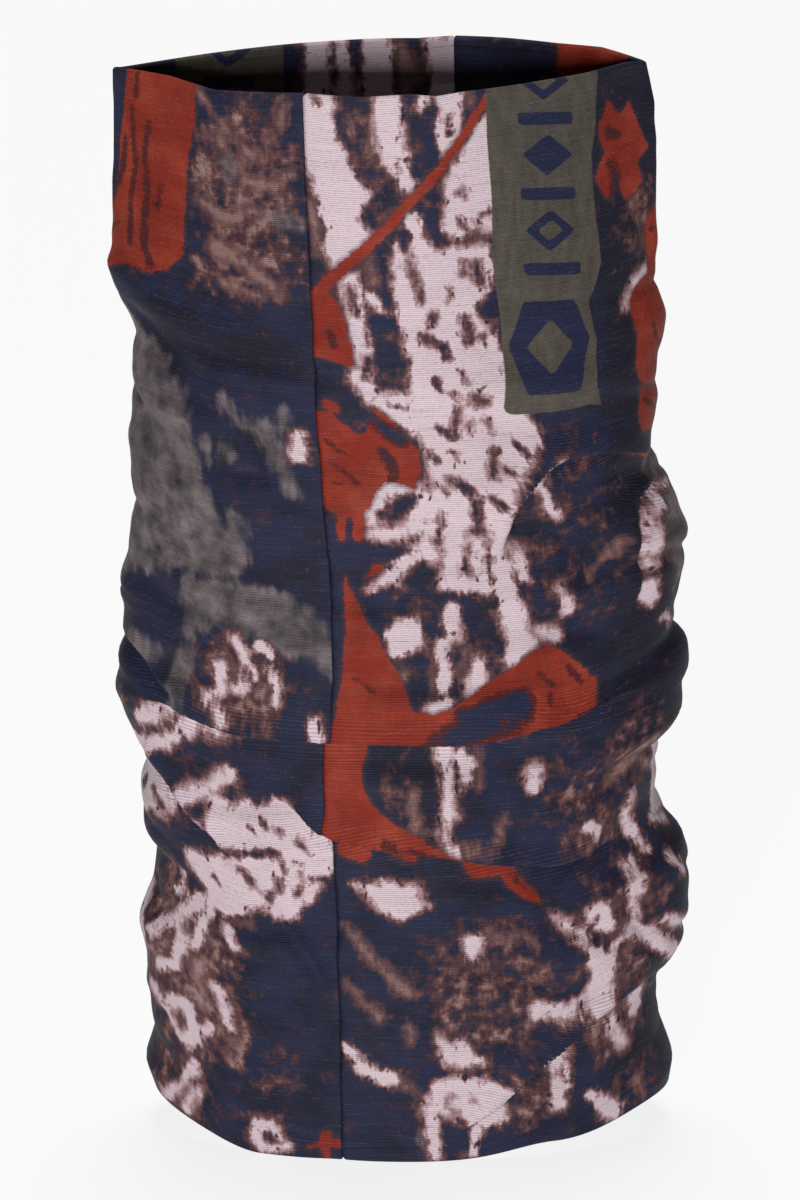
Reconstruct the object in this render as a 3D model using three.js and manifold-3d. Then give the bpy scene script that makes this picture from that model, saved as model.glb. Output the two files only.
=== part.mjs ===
// Neck gaiter: a tube of printed jersey, sewn from two panels that are alike.
//
// Millimetres, +Z up. The tube stands on its lower hem with +X to the wearer's left, -Y to the
// front and the middle of its base at the origin. Each panel is cut flat, bent round half of an
// oval, and turned in at both ends. Two overlocked seams join the panels, one a little left of
// the front and one opposite it, each with a needle thread and two looper threads.

import * as THREE from 'three';
import { mergeVertices } from 'three/addons/utils/BufferGeometryUtils.js';
import Module from 'manifold-3d';

const wasm = await Module();
wasm.setup();

// ---- Driving dimensions ----

const standingHeight = 408;
const ovalDepth = 112;
const hemTurnIn = 30;
const clothWall = 1.0;
const hemSlack = 0.4;
const sideRise = 14;
const seamAngle = -16;
const seamAllowance = 6;
const clearance = 0.3;
const recess = 0.05;
const looperRoom = 0.4;
const allowanceEnd = 1.2;
const legEnd = 1.5;
const threadEnd = 2.4;
const looperWidth = 3.2;
const threadSize = 0.4;
const needleOffset = 1.2;

// The outline seen from the front: share of the height, then the left and right edges.
const outline = [
  { share: 0.0, left: -93, right: 99 },
  { share: 0.055, left: -94, right: 104 },
  { share: 0.105, left: -93, right: 98 },
  { share: 0.155, left: -95, right: 98 },
  { share: 0.2, left: -96, right: 107 },
  { share: 0.26, left: -92, right: 108 },
  { share: 0.31, left: -95, right: 98 },
  { share: 0.36, left: -98, right: 97 },
  { share: 0.42, left: -108, right: 107 },
  { share: 0.49, left: -101, right: 101 },
  { share: 0.54, left: -100, right: 105 },
  { share: 0.585, left: -97, right: 105 },
  { share: 0.64, left: -101, right: 92 },
  { share: 0.69, left: -99, right: 95 },
  { share: 0.76, left: -99, right: 97 },
  { share: 0.82, left: -107, right: 95 },
  { share: 0.91, left: -106, right: 95 },
  { share: 1.0, left: -105, right: 94 },
];
const nominalHalfWidth = 100;

// How much of a change in width the depth gives back, so that the girth stays the cloth's own.
const depthGivenBack = 0.6;
const riseStartAngle = 35;
const facetsRound = 16; // round half the oval
const mergeWithin = 1e-5;

// ---- Where the cloth lies ----

const degrees = Math.PI / 180;
const layers = 2 * clothWall + hemSlack;

function smoothStep(value, low, high) {
  const t = Math.min(Math.max((value - low) / (high - low), 0), 1);
  return t * t * (3 - 2 * t);
}

function ovalAt(height) {
  const share = Math.min(Math.max(height / standingHeight, 0), 1);
  const next = Math.max(outline.findIndex((station) => station.share >= share), 1);
  const low = outline[next - 1];
  const high = outline[next];
  const t = (share - low.share) / (high.share - low.share);
  const left = THREE.MathUtils.lerp(low.left, high.left, t);
  const right = THREE.MathUtils.lerp(low.right, high.right, t);
  const halfWidth = (right - left) / 2;
  const halfDepth = ovalDepth / 2 + (nominalHalfWidth - halfWidth) * depthGivenBack;
  return { centre: (left + right) / 2, halfWidth, halfDepth };
}

// The lower edge touches the ground at the front and the back and lifts at the two sides.
function liftedHeight(angle, height) {
  const side = Math.abs(Math.sin(angle));
  const rise = sideRise * smoothStep(side, Math.sin(riseStartAngle * degrees), 1);
  return rise + (height * (standingHeight - rise)) / standingHeight;
}

// A point of the cloth: angle 0 is the front, 90 degrees the right as seen from the front.
// inset is the distance in from the printed face, and along a shift round the oval.
function clothPoint(angle, height, inset, along = 0) {
  const oval = ovalAt(height);
  const outward = new THREE.Vector2(
    oval.halfDepth * Math.sin(angle),
    -oval.halfWidth * Math.cos(angle),
  ).normalize();
  const onward = new THREE.Vector2(-outward.y, outward.x);
  const place = new THREE.Vector2(
    oval.centre + oval.halfWidth * Math.sin(angle),
    -oval.halfDepth * Math.cos(angle),
  );
  place.addScaledVector(outward, -inset).addScaledVector(onward, along);
  return new THREE.Vector3(place.x, place.y, liftedHeight(angle, height));
}

// ---- Solids ----

// Bends a slab: place(width station, length station, true on its printed face) gives each point.
function bentSlab(widthSteps, lengthSteps, place) {
  const slab = new THREE.BoxGeometry(widthSteps, lengthSteps, 1, widthSteps, lengthSteps, 1);
  slab.deleteAttribute('normal');
  slab.deleteAttribute('uv');
  const position = slab.getAttribute('position');
  for (let i = 0; i < position.count; i += 1) {
    const column = Math.round(position.getX(i) + widthSteps / 2);
    const row = Math.round(position.getY(i) + lengthSteps / 2);
    const point = place(column, row, position.getZ(i) > 0);
    position.setXYZ(i, point.x, point.y, point.z);
  }
  return mergeVertices(slab, mergeWithin);
}

function solidOf(geometry) {
  return new wasm.Manifold(new wasm.Mesh({
    numProp: 3,
    vertProperties: geometry.getAttribute('position').array,
    triVerts: Uint32Array.from(geometry.getIndex().array),
  }));
}

function geometryOf(solid) {
  const mesh = solid.getMesh();
  const geometry = new THREE.BufferGeometry();
  geometry.setAttribute('position', new THREE.BufferAttribute(mesh.vertProperties, 3));
  geometry.setIndex(new THREE.BufferAttribute(mesh.triVerts, 1));
  geometry.computeVertexNormals();
  return geometry;
}

// ---- Rows of a panel ----

// Down one panel, from the free edge of the lower hem to that of the upper one: the height of
// the printed face and of the back face, and how far in each of them lies.
function panelRows() {
  const top = standingHeight;
  const heights = outline.map((station) => station.share * top).slice(1, -1);
  const turnedRow = (height) => (
    { printed: [height, layers], back: [height, layers - clothWall] });
  const wallRow = (height) => ({ printed: [height, 0], back: [height, clothWall] });
  return [
    turnedRow(hemTurnIn),
    ...heights.filter((height) => height < hemTurnIn).reverse().map(turnedRow),
    { printed: [0, layers], back: [clothWall, layers - clothWall] },
    { printed: [0, 0], back: [clothWall, clothWall] },
    ...heights.map(wallRow),
    { printed: [top, 0], back: [top - clothWall, clothWall] },
    { printed: [top, layers], back: [top - clothWall, layers - clothWall] },
    ...heights.filter((height) => height > top - hemTurnIn).reverse().map(turnedRow),
    turnedRow(top - hemTurnIn),
  ];
}

// ---- Seams ----

// Both allowances of a seam lie flat against the inside of the panel that ends there. Going in
// from the printed face: that panel's wall, the lower looper thread, the ending panel's own
// allowance folded back, the starting panel's allowance, the needle thread and the upper looper.
const loopers = clothWall + clearance;
const foldedBack = loopers + looperRoom + clearance;
const passedUnder = foldedBack + clothWall + clearance;
const onTop = passedUnder + clothWall + clearance;
const seamGap = clearance / 2 + recess;

// A point beside a seam, on the same facet as the wall there.
function besideSeam(angle, height, inset, along) {
  if (along > 0) return clothPoint(angle, height, inset, along);
  const atSeam = clothPoint(angle, height, inset);
  const facetAway = clothPoint(angle - Math.PI / facetsRound, height, inset);
  return atSeam.add(facetAway.sub(atSeam).setLength(-along));
}

// A straight strip down a seam: its span in from the printed face, and its span round the oval,
// which is negative on the side of the panel that ends at the seam.
function seamStrip(angle, endClearance, inset, along) {
  const low = hemTurnIn + endClearance;
  const high = standingHeight - low;
  const between = outline.map((station) => station.share * standingHeight);
  const heights = [low, ...between.filter((height) => height > low && height < high), high];
  return bentSlab(1, heights.length - 1, (column, row, onFace) => (
    besideSeam(angle, heights[row], onFace ? inset[0] : inset[1], along[column])));
}

// One allowance: a leg that goes in from the wall at the seam, and a strip that lies flat. The
// leg is a little shorter and ends half way into the strip, so that no two faces coincide.
function allowance(angle, inset, legAlong, stripEnd) {
  const deep = inset + clothWall;
  const leg = seamStrip(angle, legEnd, [clothWall / 2, inset + clothWall / 2], legAlong);
  const strip = seamStrip(angle, allowanceEnd, [inset, deep], [-seamAllowance, stripEnd]);
  return solidOf(leg).add(solidOf(strip));
}

// The allowance of the panel that ends at the seam turns back under its own wall.
function endingAllowance(angle) {
  const legAlong = [-seamGap - clothWall, -seamGap];
  return allowance(angle, foldedBack, legAlong, -seamGap - clothWall / 2);
}

// The allowance of the panel that starts at the seam passes under the other panel.
function startingAllowance(angle) {
  const legAlong = [seamGap, seamGap + clothWall];
  return allowance(angle, passedUnder, legAlong, seamGap + clothWall / 2);
}

function needleThread(angle) {
  const inset = [onTop, onTop + threadSize];
  return seamStrip(angle, threadEnd, inset, [-needleOffset - threadSize, -needleOffset]);
}

function looperThread(angle, start) {
  const along = [-seamAllowance, looperWidth - seamAllowance];
  return seamStrip(angle, threadEnd, [start, start + threadSize], along);
}

// ---- Panels ----

function makePanel(startAngle) {
  const rows = panelRows();
  const endAngle = startAngle + Math.PI;
  const wall = bentSlab(facetsRound, rows.length - 1, (column, row, onFace) => {
    const [height, inset] = onFace ? rows[row].printed : rows[row].back;
    const angle = THREE.MathUtils.lerp(startAngle, endAngle, column / facetsRound);
    const atStart = column === 0 ? clearance / 2 : 0;
    const atEnd = column === facetsRound ? -clearance / 2 : 0;
    return clothPoint(angle, height, inset, atStart + atEnd);
  });
  return geometryOf(
    solidOf(wall).add(startingAllowance(startAngle)).add(endingAllowance(endAngle)));
}

// ---- Assembly ----

const jersey = { color: 0x493f4c, roughness: 0.85, metalness: 0 };
const jerseyOther = { color: 0x5d4048, roughness: 0.85, metalness: 0 };
const thread = { color: 0x23222b, roughness: 0.7, metalness: 0 };

const gaiter = new THREE.Group();

function addPiece(name, geometry, finish) {
  const piece = new THREE.Mesh(geometry, new THREE.MeshStandardMaterial(finish));
  piece.name = name;
  gaiter.add(piece);
}

const frontSeam = seamAngle * degrees;
const backSeam = frontSeam + Math.PI;

addPiece('right_panel', makePanel(frontSeam), jersey);
addPiece('left_panel', makePanel(backSeam), jerseyOther);

for (const [name, angle] of [['front_seam', frontSeam], ['back_seam', backSeam]]) {
  addPiece(`${name}_needle_thread`, needleThread(angle), thread);
  addPiece(`${name}_upper_looper_thread`, looperThread(angle, onTop), thread);
  addPiece(`${name}_lower_looper_thread`, looperThread(angle, loopers), thread);
}

export default gaiter;
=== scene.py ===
"""Neck gaiter: a printed jersey tube of two panels, standing open, with its folds, seams and threads."""

import math
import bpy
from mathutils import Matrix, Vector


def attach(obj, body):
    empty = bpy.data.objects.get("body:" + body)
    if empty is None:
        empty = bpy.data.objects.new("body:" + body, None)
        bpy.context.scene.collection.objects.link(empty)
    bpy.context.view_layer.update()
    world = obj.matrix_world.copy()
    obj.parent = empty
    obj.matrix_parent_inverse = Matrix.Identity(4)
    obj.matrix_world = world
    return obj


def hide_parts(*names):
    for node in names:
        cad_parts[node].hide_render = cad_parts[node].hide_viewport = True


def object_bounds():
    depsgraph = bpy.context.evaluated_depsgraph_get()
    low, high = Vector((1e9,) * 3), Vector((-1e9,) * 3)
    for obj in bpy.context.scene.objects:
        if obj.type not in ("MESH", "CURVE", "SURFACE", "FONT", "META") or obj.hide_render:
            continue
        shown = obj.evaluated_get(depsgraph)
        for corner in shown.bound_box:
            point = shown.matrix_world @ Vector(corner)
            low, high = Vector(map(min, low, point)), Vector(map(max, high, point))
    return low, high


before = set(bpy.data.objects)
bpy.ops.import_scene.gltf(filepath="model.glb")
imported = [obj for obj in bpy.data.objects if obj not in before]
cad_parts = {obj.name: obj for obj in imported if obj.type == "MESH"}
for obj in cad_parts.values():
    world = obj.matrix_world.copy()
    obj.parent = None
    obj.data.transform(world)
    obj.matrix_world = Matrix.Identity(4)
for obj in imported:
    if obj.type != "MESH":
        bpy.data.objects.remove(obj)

from types import SimpleNamespace

import bpy
import numpy as np
from mathutils import Vector

cad_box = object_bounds()

# ---- Sizes of the cloth, in millimetres ----

MM = 0.001
PANEL_WIDTH = 250.0  # from one seam to the other
PANEL_LENGTH = 500.0  # before its two ends were turned in
TURN_IN = 30.0
WALL = PANEL_LENGTH - 2 * TURN_IN
ALLOWANCE = 6.0
CLOTH_THICK = 0.42
HEIGHT = (cad_box[1][2] - cad_box[0][2]) / MM
HALF_WIDTH = 97.0
HALF_DEPTH = 56.0
SEAM_ANGLE = math.radians(-16.0)
FOLD_RADIUS = 1.3
STEP = 1.75  # spacing of the cloth's vertices

# The middle of the tube leans a little from its base to its top.
BASE_CENTRE = 3.0
TOP_CENTRE = -5.5


# ---- Small helpers ----


def smooth(x, low, high):
    t = np.clip((x - low) / (high - low), 0.0, 1.0)
    return t * t * (3.0 - 2.0 * t)


def curve_points(points, count=60):
    """A smooth curve through a few chosen points."""
    points = np.array(points, float)
    steps = np.hypot(*np.diff(points, axis=0).T)
    along = np.concatenate([[0.0], np.cumsum(steps)])
    at = np.linspace(0.0, along[-1], count)
    if len(points) < 3:
        return np.stack([np.interp(at, along, points[:, k]) for k in (0, 1)], axis=1)
    slopes = np.gradient(points, along, axis=0)
    i = np.clip(np.searchsorted(along, at, side="right") - 1, 0, len(points) - 2)
    span = (along[i + 1] - along[i])[:, None]
    t = ((at - along[i]) / span[:, 0])[:, None]
    hermite = (
        (2 * t**3 - 3 * t**2 + 1) * points[i]
        + (t**3 - 2 * t**2 + t) * span * slopes[i]
        + (3 * t**2 - 2 * t**3) * points[i + 1]
        + (t**3 - t**2) * span * slopes[i + 1]
    )
    return hermite


# ---- Where the cloth lies ----
#
# around: millimetres round the tube from the front seam, positive to the right as seen from
# the front, from -250 to 250, which are both the back seam. up: millimetres up the cloth from
# the fold of the lower hem, 0 to WALL.

_angles = np.linspace(-math.pi - 0.6, math.pi + 0.6, 4001) + SEAM_ANGLE
_speed = np.hypot(HALF_WIDTH * np.cos(_angles), HALF_DEPTH * np.sin(_angles))
_arc = np.concatenate([[0.0], np.cumsum((_speed[1:] + _speed[:-1]) / 2 * np.diff(_angles))])
_arc -= np.interp(SEAM_ANGLE, _angles, _arc)
_arc *= PANEL_WIDTH / np.interp(SEAM_ANGLE + math.pi, _angles, _arc)

# Towards its upper rim the tube closes to a lens with a corner at each side, as cloth does that
# was folded flat, and the rim rises and dips: place round, millimetres up.
PINCH = 1.2
PINCH_START = 300.0
RIM_START = 345.0
RIM = [(-250, 1.2), (-243, 0.2), (-235, -0.8), (-200, -1.6), (-170, -1.6), (-140, -1.3), (-110, -1.0),
       (-80, -0.5), (-55, -0.3), (-35, -3.0), (-20, -1.6), (0, -0.2), (22, -0.5), (40, 0.6), (50, -0.6),
       (60, 0.6), (90, 1.5), (110, 1.6), (130, 2.8), (150, 1.6), (170, 2.6), (190, 4.2), (210, 2.6),
       (230, 2.0), (250, 1.2)]

# How far the left and right edges stand out at each height above the base.
LEFT_EDGE = [
    (0, -92), (10, -92), (24, -97), (38, -92.5), (55, -95), (72, -96.5), (90, -95), (104, -92.5),
    (113, -91), (127, -96), (140, -97), (150, -98), (160, -101.5), (172, -106.5), (184, -106.5),
    (193, -101), (203, -102.5), (215, -103.5), (227, -101.5), (238, -98.5), (250, -100.5),
    (262, -101.6), (274, -99), (290, -99), (309, -98.3), (322, -103.5), (335, -107.6),
    (350, -106.5), (380, -105), (400, -105.5), (408, -105.5),
]
RIGHT_EDGE = [
    (0, 98.5), (10, 102), (24, 104), (33, 101), (40, 98.3), (52, 98), (62, 98.5), (70, 105),
    (80, 108.3), (100, 108.8), (112, 107), (119, 101), (128, 97), (146, 96), (156, 98.5),
    (166, 106.5), (179, 109), (188, 106.5), (196, 101), (203, 102), (216, 105.6), (232, 105.8),
    (243, 103), (251, 100), (262, 91.3), (280, 94.9), (300, 97), (320, 96.5), (335, 94.5),
    (380, 94.3), (394, 93.6), (408, 90.5),
]
EDGE_SPREAD = math.radians(40.0)  # how far round a bulge at the edge reaches
# How much lower in front, and higher behind, a bulge runs: millimetres a radian from its edge.
EDGE_SLANT = 16.0

# The two sides of the lower edge lift off the ground.
SIDE_RISE = 14.0
RISE_START = math.radians(35.0)

# How far the seam, and the cloth with it, wanders sideways: millimetres up, millimetres across.
WANDER = [(0, 2.0), (40, 2.4), (110, 2.4), (132, 1.8), (140, -0.5), (160, -1.2), (177, -1.0),
          (183, 2.0), (205, 3.2), (235, 3.2), (265, 1.8), (300, -0.2), (350, -1.2), (400, -2.6),
          (440, -3.2)]
WANDER_REACH = 140.0  # how far round from the front seam the wander is felt

# Where the lower edge lifts more, or less where it is negative: place round, reach and height.
LIFTS = [(82, 24, 5.5), (-72, 24, -3.0)]
LIFT_REACH = 34.0  # how far up the cloth a lift is felt


def edge_offset(points, up_height):
    heights, places = zip(*points)
    return np.interp(up_height, heights, places)


def angle_of(around):
    return np.interp(around, _arc, _angles)


# Tucks, where the cloth doubles over itself: the line, how far it overlaps, how far it stands
# out, and half the width of the rolled cloth. The cloth on the line's left hand lies on top.
TUCKS = [
    ([(-92, 176), (-60, 180), (-20, 180), (20, 180), (60, 180.5), (84, 185), (110, 187), (134, 184)],
     5.5, 1.7, 3.6),
    ([(-24, 156), (-14, 150), (-4, 142), (8, 138), (24, 134), (42, 131.5), (60, 128), (84, 125),
      (106, 124), (128, 120)],
     4.5, 1.7, 3.2),
    ([(-84, 160), (-74, 151), (-62, 143), (-52, 136), (-45, 131), (-42, 125), (-41, 117)],
     4, 1.5, 3),
    ([(42, 9), (50, 15), (60, 24), (70, 33), (80, 42), (90, 49), (102, 54), (116, 56), (134, 55)],
     5, 2.1, 3.2),
    ([(-30, 7.5), (-10, 6.5), (10, 6), (26, 7), (42, 9)], 1.6, 0.7, 2),
    ([(117, 212), (118, 232), (118.5, 250), (122, 262), (132, 268), (148, 266)], 4, 1.8, 3.3),
    ([(64, 246), (68, 260), (74, 275), (82, 285), (92, 291), (106, 290), (120, 286), (134, 281),
      (148, 278)], 3.2, 1.9, 3.7),
    ([(-112, 203), (-96, 201), (-80, 196), (-68, 189), (-58, 183)], 3.5, 1.6, 3.4),
]

# Creases: the line, depth and half width.
CREASES = [
    ([(-40, 114), (-30, 108), (-22, 100), (-14, 90), (-7, 78), (-4, 68)], 2.4, 3.2),
    ([(-4, 72), (-1, 60), (-2, 40)], 1.2, 3),
    ([(-46, 215), (-37, 208), (-28, 201), (-18, 191)], 1.6, 2.4),
    ([(117, 162), (114, 148), (116, 132), (121, 120), (129, 110)], 2.6, 2.8),
    ([(108, 158), (106, 142), (108, 128), (112, 116)], 1.4, 3),
    ([(-108, 262), (-92, 256), (-78, 256), (-66, 262)], 2.4, 3.6),
    ([(-108, 318), (-92, 306), (-80, 296), (-70, 280)], 2.2, 4.4),
    ([(-104, 136), (-92, 126), (-80, 120), (-66, 120)], 2, 3.6),
    ([(-96, 96), (-84, 86), (-72, 82)], 1.6, 3.8), ([(-98, 44), (-84, 38), (-72, 40)], 1.6, 4.2),
    ([(34, 107.5), (50, 105), (66, 103), (82, 100)], 2, 2.8),
    ([(-88, 346), (-76, 338), (-60, 327), (-46, 316), (-34, 303), (-26, 290), (-22, 278)], 2.9, 5.4),
    ([(-70, 334), (-45, 333), (-20, 331), (4, 329), (24, 330)], 2.2, 3.8),
    ([(-60, 324), (-36, 322), (-10, 320), (8, 322)], 1.8, 2.8),
    ([(-68, 250), (-60, 242), (-46, 239), (-28, 238), (-12, 233)], 2.7, 4.4),
    ([(-56, 69), (-44, 66), (-34, 60), (-28, 52)], 1.5, 3.6),
    ([(112, 116), (113, 98), (117, 84), (124, 72), (133, 62)], 2.5, 2.4),
    ([(118, 112), (119, 96), (124, 83), (132, 73), (140, 66)], 2, 2.2),
    ([(88, 100), (95, 92), (102, 86), (109, 80), (112, 70)], 1.8, 2.6),
    ([(124, 392), (130, 382), (137, 370), (142, 356)], 1.7, 3),
    ([(-66, 36), (-58, 24), (-52, 10)], 1.5, 4),
    ([(60, 172), (80, 170), (104, 172), (124, 168)], 1.4, 4),
    ([(84, 152), (104, 148), (122, 150), (138, 146)], 1.5, 4.2),
    ([(70, 226), (86, 222), (104, 214), (118, 208)], 1.2, 4.6),
]

CREASE_ROUND = 0.9  # keeps the bottom of a crease from being sharp

# How many half widths from its line a tuck or a crease is still worked out.
TUCK_REACH = 8.0
CREASE_REACH = 7.0
LINE_FADE = 0.22  # the share of a line, at both its ends, over which it fades
LINE_END = 6.0  # how far past its ends a line is still felt

# Broad swells and hollows: the middle, the reach round and up, the slant and how far out.
SWELLS = [
    (30, 205, 46, 22, 0, 3.1), (80, 160, 40, 13, 0.1, 2.5), (20, 158, 30, 11, 0, 2),
    (-20, 124, 26, 18, 0.5, 3.1), (70, 112, 40, 14, -0.1, 2.4), (-72, 128, 24, 14, 0.6, 3.1),
    (80, 74, 34, 16, 0.6, 2.7), (28, 60, 38, 30, 0, 1.7), (96, 28, 26, 16, 0.6, 2.4),
    (104, 244, 12, 22, 0, -2), (100, 262, 30, 12, -0.4, 2.4), (40, 330, 60, 40, 0, 2),
    (134, 92, 12, 24, 0, 2.6), (134, 240, 12, 20, 0, 2.4), (128, 26, 18, 16, 0, 2),
    (-40, 284, 26, 16, -0.8, 2.7), (-60, 268, 20, 26, 0.4, 1.7), (-30, 392, 50, 30, 0, 1.4),
    (90, 400, 40, 30, 0, 1), (-34, 48, 24, 22, 0.3, 2), (-84, 60, 22, 24, 0, 2.4),
]

# Wrinkles all over the cloth: the seed, how many waves, their pitch and how much it varies.
SCRUNCHES = (21, 7, 46.0, 0.3)
WRINKLES = (11, 14, 36.0, 0.35)
FINE_WRINKLES = (12, 12, 13.0, 0.3)
SCRUNCH_DEPTH = 2.4
SCRUNCH_WIDTH = 0.42
WRINKLE_HEIGHT = 0.85
FINE_WRINKLE_HEIGHT = 0.26


def along_line(line, around, up, reach):
    """Near a line: which points, their distance (positive on its left), unit normal and taper."""
    line = curve_points(line)
    near = (around > line[:, 0].min() - reach) & (around < line[:, 0].max() + reach)
    near &= (up > line[:, 1].min() - reach) & (up < line[:, 1].max() + reach)
    points = np.stack([around[near], up[near]], axis=-1)
    tangent = np.gradient(line, axis=0)
    tangent /= np.hypot(*tangent.T)[:, None]
    nearest = np.argmin(((points[:, None] - line[None]) ** 2).sum(axis=-1), axis=1)
    normal = np.stack([-tangent[:, 1], tangent[:, 0]], axis=1)[nearest]
    offset = points - line[nearest]
    signed = (offset * normal).sum(axis=-1)
    share = nearest / (len(line) - 1)
    taper = smooth(share, 0.0, LINE_FADE) * smooth(1.0 - share, 0.0, LINE_FADE)
    beyond = np.abs((offset * tangent[nearest]).sum(axis=-1))
    return near, signed, normal, taper * np.exp(-((beyond / LINE_END) ** 2))


def tuck_share(around, up):
    """1 in the rolled edges of a tuck, where the knit is stretched thin, and 0 away from them."""
    share = np.zeros(around.shape)
    for line, _, _, width in TUCKS:
        near, signed, _, taper = along_line(line, around, up, TUCK_REACH * width)
        rolled = np.exp(-((signed / (1.7 * width)) ** 4)) * taper
        share[near] = np.maximum(share[near], rolled)
    return share


def wrinkle_field(around, up, seed, waves, pitch, spread):
    """Gentle wrinkles: waves whose crests run mostly round the tube."""
    draw = np.random.default_rng(seed)
    total = np.zeros(around.shape)
    for _ in range(waves):
        turns = draw.integers(-4, 5)
        length = pitch * np.exp(draw.normal(0.0, spread))
        phase = draw.uniform(0.0, 2 * math.pi)
        total += np.sin(
            2 * math.pi * (turns * around / (2 * PANEL_WIDTH) + up / length) + phase
        ) * (length / pitch)
    return total / math.sqrt(waves)


def add_tucks(around, up, out, shift_round, shift_up):
    for line, overlap, stand, width in TUCKS:
        near, signed, normal, taper = along_line(line, around, up, TUCK_REACH * width)
        roll = signed / width * np.exp(0.5 - 0.5 * (signed / width) ** 2) * taper
        swell = np.exp(-(((signed - 2.5 * width) / (3.2 * width)) ** 2)) * taper
        out[near] += stand * roll + 0.6 * stand * swell
        shift_round[near] -= overlap * roll * normal[:, 0]
        shift_up[near] -= overlap * roll * normal[:, 1]


def add_creases(around, up, out):
    for line, depth, width in CREASES:
        near, signed, _, taper = along_line(line, around, up, CREASE_REACH * width)
        valley = np.exp(-((np.hypot(signed, CREASE_ROUND) / width) ** 1.3))
        shoulder = np.exp(-(((np.abs(signed) - 2.4 * width) / (1.6 * width)) ** 2))
        out[near] += depth * taper * (0.45 * shoulder - valley)


def add_swells(around, up, out):
    for middle, at, reach_round, reach_up, slant, amount in SWELLS:
        x = around - middle
        y = up - at - slant * x
        out += amount * np.exp(-((x / reach_round) ** 2) - (y / reach_up) ** 2)


def add_lifts(around, up, shift_up):
    for middle, reach, lift in LIFTS:
        fade = np.exp(-(((around - middle) / reach) ** 2)) * np.exp(-((up / LIFT_REACH) ** 2))
        shift_up += lift * fade


def add_wrinkles(around, up, out):
    """Sharp scrunches, mostly away from the front, and soft wrinkles; both fade at the hems."""
    scrunch = wrinkle_field(around, up, *SCRUNCHES)
    unseen = 1.0 - 0.55 * np.exp(-((around / 110.0) ** 4))
    calm = smooth(up, 10.0, 60.0) * (1.0 - smooth(up, 330.0, 400.0))
    valley = np.exp(-((np.hypot(scrunch, 0.12) / SCRUNCH_WIDTH) ** 1.2))
    out -= calm * unseen * SCRUNCH_DEPTH * (valley - 0.3)
    calm = smooth(up, 4.0, 50.0) * (1.0 - 0.75 * smooth(up, 330.0, 400.0))
    calm = calm * (1.0 - smooth(up, 415.0, 440.0))
    out += calm * WRINKLE_HEIGHT * wrinkle_field(around, up, *WRINKLES)
    out += calm * FINE_WRINKLE_HEIGHT * wrinkle_field(around, up, *FINE_WRINKLES)


def add_edges(side, front, height, centre, out):
    """Moves the cloth at the left and right out to the edges that the lists give."""
    for sign, points in ((-1.0, LEFT_EDGE), (1.0, RIGHT_EDGE)):
        from_edge = np.arccos(np.clip(side * sign, -1.0, 1.0))
        slanted = height + EDGE_SLANT * from_edge * np.sign(front)
        stands = sign * (edge_offset(points, slanted) - centre) - HALF_WIDTH
        out += stands * np.exp(-((from_edge / EDGE_SPREAD) ** 2))


def wall_point(around, up):
    """The printed face of the cloth at a place given in cloth millimetres, as x, y, z."""
    out = np.zeros(around.shape)
    shift_round = np.interp(up, *zip(*WANDER)) * np.exp(-((around / WANDER_REACH) ** 4))
    shift_up = np.zeros(around.shape)
    add_tucks(around, up, out, shift_round, shift_up)
    add_creases(around, up, out)
    add_swells(around, up, out)
    add_lifts(around, up, shift_up)
    add_wrinkles(around, up, out)
    shift_up += np.interp(around, *zip(*RIM)) * smooth(up, RIM_START, WALL)
    angle = angle_of(around + shift_round)
    side, front = np.sin(angle), np.cos(angle)
    rise = SIDE_RISE * smooth(np.abs(side), math.sin(RISE_START), 1.0)
    height = rise + (up + shift_up) / WALL * (HEIGHT - rise)
    outward = np.stack([HALF_DEPTH * side, -HALF_WIDTH * front], axis=-1)
    outward /= np.hypot(outward[..., 0], outward[..., 1])[..., None]
    centre = BASE_CENTRE + (TOP_CENTRE - BASE_CENTRE) * np.clip(height / HEIGHT, 0.0, 1.0)
    add_edges(side, front, height, centre, out)
    pinch = (front**2 + 0.02) ** (PINCH / 2 * smooth(up, PINCH_START, WALL))
    x = centre + HALF_WIDTH * side + outward[..., 0] * out
    y = (-HALF_DEPTH * front + outward[..., 1] * out) * pinch
    return np.stack([x, y, height], axis=-1)


# ---- The wall, worked out once on a fine grid ----


CALM_REACH = 9  # how many grid steps either way the calmer direction is averaged over


def wall_grid():
    """On a 1 mm grid: the printed face, the way to the cloth's back, and a calmer such way."""
    around = np.arange(-PANEL_WIDTH, PANEL_WIDTH + 0.5, 1.0)
    up = np.arange(0.0, WALL + 0.5, 1.0)
    around, up = np.meshgrid(around, up, indexing="ij")
    points = wall_point(around, up)
    padded = np.concatenate([points[-2:-1], points, points[1:2]])
    across = (padded[2:] - padded[:-2]) / 2.0
    along = np.gradient(points, axis=1)
    inward = np.cross(along, across)
    inward /= np.linalg.norm(inward, axis=-1)[..., None]
    calm = inward
    for axis, wrap in ((0, "wrap"), (1, "edge")):
        pads = [(CALM_REACH, CALM_REACH) if k == axis else (0, 0) for k in range(3)]
        wide = np.pad(calm, pads, mode=wrap)
        size = calm.shape[axis]
        windows = range(2 * CALM_REACH + 1)
        calm = sum(np.take(wide, np.arange(k, k + size), axis=axis) for k in windows)
    calm /= np.linalg.norm(calm, axis=-1)[..., None]
    share = tuck_share(around, up)[..., None] ** 0.5
    behind = (inward * (1.0 - share) + calm * share) * (1.0 - 0.5 * share)
    return points, behind, calm


# The back of the cloth follows the calmer direction in a tuck, and so do the seams' inner
# layers everywhere, so that they stay inside a sharp fold.
WALL_POINTS, WALL_BEHIND, WALL_CALM = wall_grid()


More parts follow.
